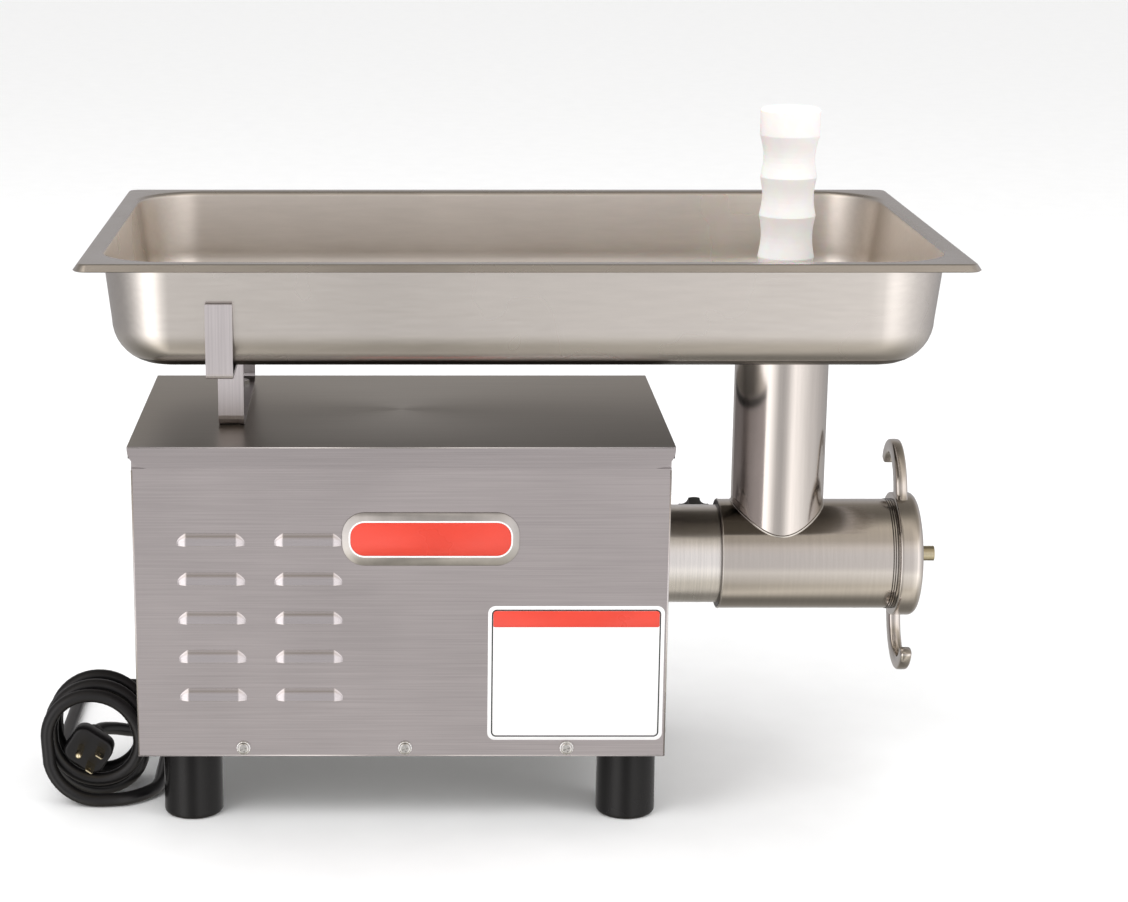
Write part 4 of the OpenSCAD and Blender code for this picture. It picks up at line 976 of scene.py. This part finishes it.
# The tray's bowl is this far inside or below its rim; its underside is what faces down this much
BOWL_MARGIN = 1.5
FACING_DOWN = -0.8
RIM_SLOT, BOWL_SLOT, UNDER_SHADE_SLOT = 0, 1, 2


def in_bowl(point):
    """Whether a point of the tray, in metres, lies below and inside the rim."""
    x, y, z = point / MM
    inside_x = abs(x - TRAY_X) < WALL_HALF[0] + BOWL_MARGIN
    return inside_x and abs(y) < WALL_HALF[1] + BOWL_MARGIN and z < RIM_Z - BOWL_MARGIN


tray.data.materials.append(MATERIALS["tray_in"])
tray.data.materials.append(MATERIALS["tray_under"])
for polygon in tray.data.polygons:
    bowl = in_bowl(polygon.center)
    if polygon.index < TRAY_INSIDE_FACES:
        # the inside of the bowl gets the painted reflection tone
        polygon.material_index = BOWL_SLOT if bowl else RIM_SLOT
    # the bowl's downward faces get the dark painted shade
    elif bowl and polygon.normal.z < FACING_DOWN:
        polygon.material_index = UNDER_SHADE_SLOT

# ---------------------------------------------------------------- floor and light

FLOOR_HALF = 20.0
floor_corners = [(x * FLOOR_HALF, y * FLOOR_HALF, 0) for x, y in ((-1, -1), (1, -1), (1, 1), (-1, 1))]
floor = mesh_object("floor", floor_corners, [(0, 1, 2, 3)])
finish_with(floor, moulded("floor_paper", (0.93, 0.93, 0.93), 0.8, 60, 0.02, 0.01))

floor.visible_glossy = False
bpy.context.scene.view_settings.view_transform = "Standard"

world = bpy.data.worlds.new("studio")
bpy.context.scene.world = world
world.use_nodes = True
sky = world.node_tree
# What reflections see: panels of light and shade round the object, by direction in degrees (0 is the
# front, positive to the right), times a tone by height in degrees above the horizon
STUDIO_ROUND = [(-180, 0.46), (-150, 0.42), (-98, 0.40), (-80, 0.60), (-62, 1.05), (-50, 1.90), (-34, 2.00),
                (-22, 1.20), (-12, 0.68), (0, 0.60), (10, 0.80), (25, 1.60), (45, 1.30), (70, 0.90),
                (88, 0.82), (104, 0.66), (150, 0.42), (180, 0.46)]
STUDIO_HEIGHT = [(-90, (0.40, 0.375, 0.335)), (-55, (0.62, 0.585, 0.52)), (-25, (1.20, 1.17, 1.14)),
                 (-13, (1.00, 0.975, 0.98)), (12, (1.00, 0.975, 0.985)), (26, (0.98, 0.93, 0.90)),
                 (40, (0.62, 0.57, 0.51)), (60, (0.46, 0.42, 0.365)), (90, (0.34, 0.31, 0.265))]
# A ramp's colours are kept between 0 and 1, so tones are divided by this and the product made up at the end
TONE_TOP = 2.0


def node(kind, **settings):
    made = sky.nodes.new(kind)
    for key, value in settings.items():
        setattr(made, key, value)
    return made


def stops(fac, points, low, high):
    """A ramp through tones given at angles between low and high."""
    ramp = node("ShaderNodeValToRGB")
    elements = ramp.color_ramp.elements
    for at, colour in points:
        place = (at - low) / (high - low)
        ends = {0.0: 0, 1.0: len(elements) - 1}
        element = elements[ends[place]] if place in ends else elements.new(place)
        tone = colour if isinstance(colour, tuple) else (colour, colour, colour)
        element.color = (*(c / TONE_TOP for c in tone), 1.0)
    sky.links.new(fac, ramp.inputs["Fac"])
    return ramp.outputs["Color"]


def maths(operation, first, second=None):
    """A Math node; a number sets its socket and an output is linked to it."""
    made = node("ShaderNodeMath", operation=operation)
    for socket, value in zip(made.inputs, (first, second)):
        if value is None:
            continue
        if isinstance(value, float):
            socket.default_value = value
        else:
            sky.links.new(value, socket)
    return made.outputs[0]


direction = node("ShaderNodeTexCoord")
parts = node("ShaderNodeSeparateXYZ")
sky.links.new(direction.outputs["Generated"], parts.inputs["Vector"])
azimuth = maths("ARCTAN2", parts.outputs["X"], maths("MULTIPLY", parts.outputs["Y"], -1.0))
round_fac = maths("ADD", maths("DIVIDE", azimuth, 2 * math.pi), 0.5)
height_fac = maths("ADD", maths("DIVIDE", maths("ARCSINE", parts.outputs["Z"]), math.pi), 0.5)
lit = node("ShaderNodeMix", data_type="RGBA", blend_type="MULTIPLY")
lit.inputs["Factor"].default_value = 1.0
sky.links.new(stops(round_fac, STUDIO_ROUND, -180, 180), lit.inputs[MIX_A])
sky.links.new(stops(height_fac, STUDIO_HEIGHT, -90, 90), lit.inputs[MIX_B])
reflected = node("ShaderNodeBackground")
reflected.inputs["Strength"].default_value = TONE_TOP**2
sky.links.new(lit.outputs[MIX_RESULT], reflected.inputs["Color"])
white = sky.nodes["Background"]
white.inputs["Color"].default_value = (1.0, 1.0, 1.0, 1.0)
white.inputs["Strength"].default_value = 1.0
rays = node("ShaderNodeLightPath")
either = node("ShaderNodeMixShader")
sky.links.new(rays.outputs["Is Glossy Ray"], either.inputs[0])
sky.links.new(white.outputs[0], either.inputs[1])
sky.links.new(reflected.outputs[0], either.inputs[2])
sky.links.new(either.outputs[0], sky.nodes["World Output"].inputs["Surface"])

LAMP_TARGET = Vector((0.0, 0.0, 0.2))


def soft_box(name, place, size, power):
    """A rectangular lamp facing the machine, which reflections don't show."""
    light = bpy.data.lights.new(name, "AREA")
    light.shape = "RECTANGLE"
    light.size, light.size_y = size
    light.energy = power
    lamp = link_object(name, light)
    lamp.location = place
    lamp.rotation_mode = "QUATERNION"
    lamp.rotation_quaternion = (LAMP_TARGET - Vector(place)).to_track_quat("-Z", "Y")
    lamp.visible_glossy = False


soft_box("key", (-1.5, -1.5, 2.2), (1.3, 1.3), 30)
soft_box("fill", (1.9, -1.2, 1.3), (0.6, 1.8), 12)
soft_box("top", (0.0, 0.4, 2.6), (2.4, 1.6), 16)
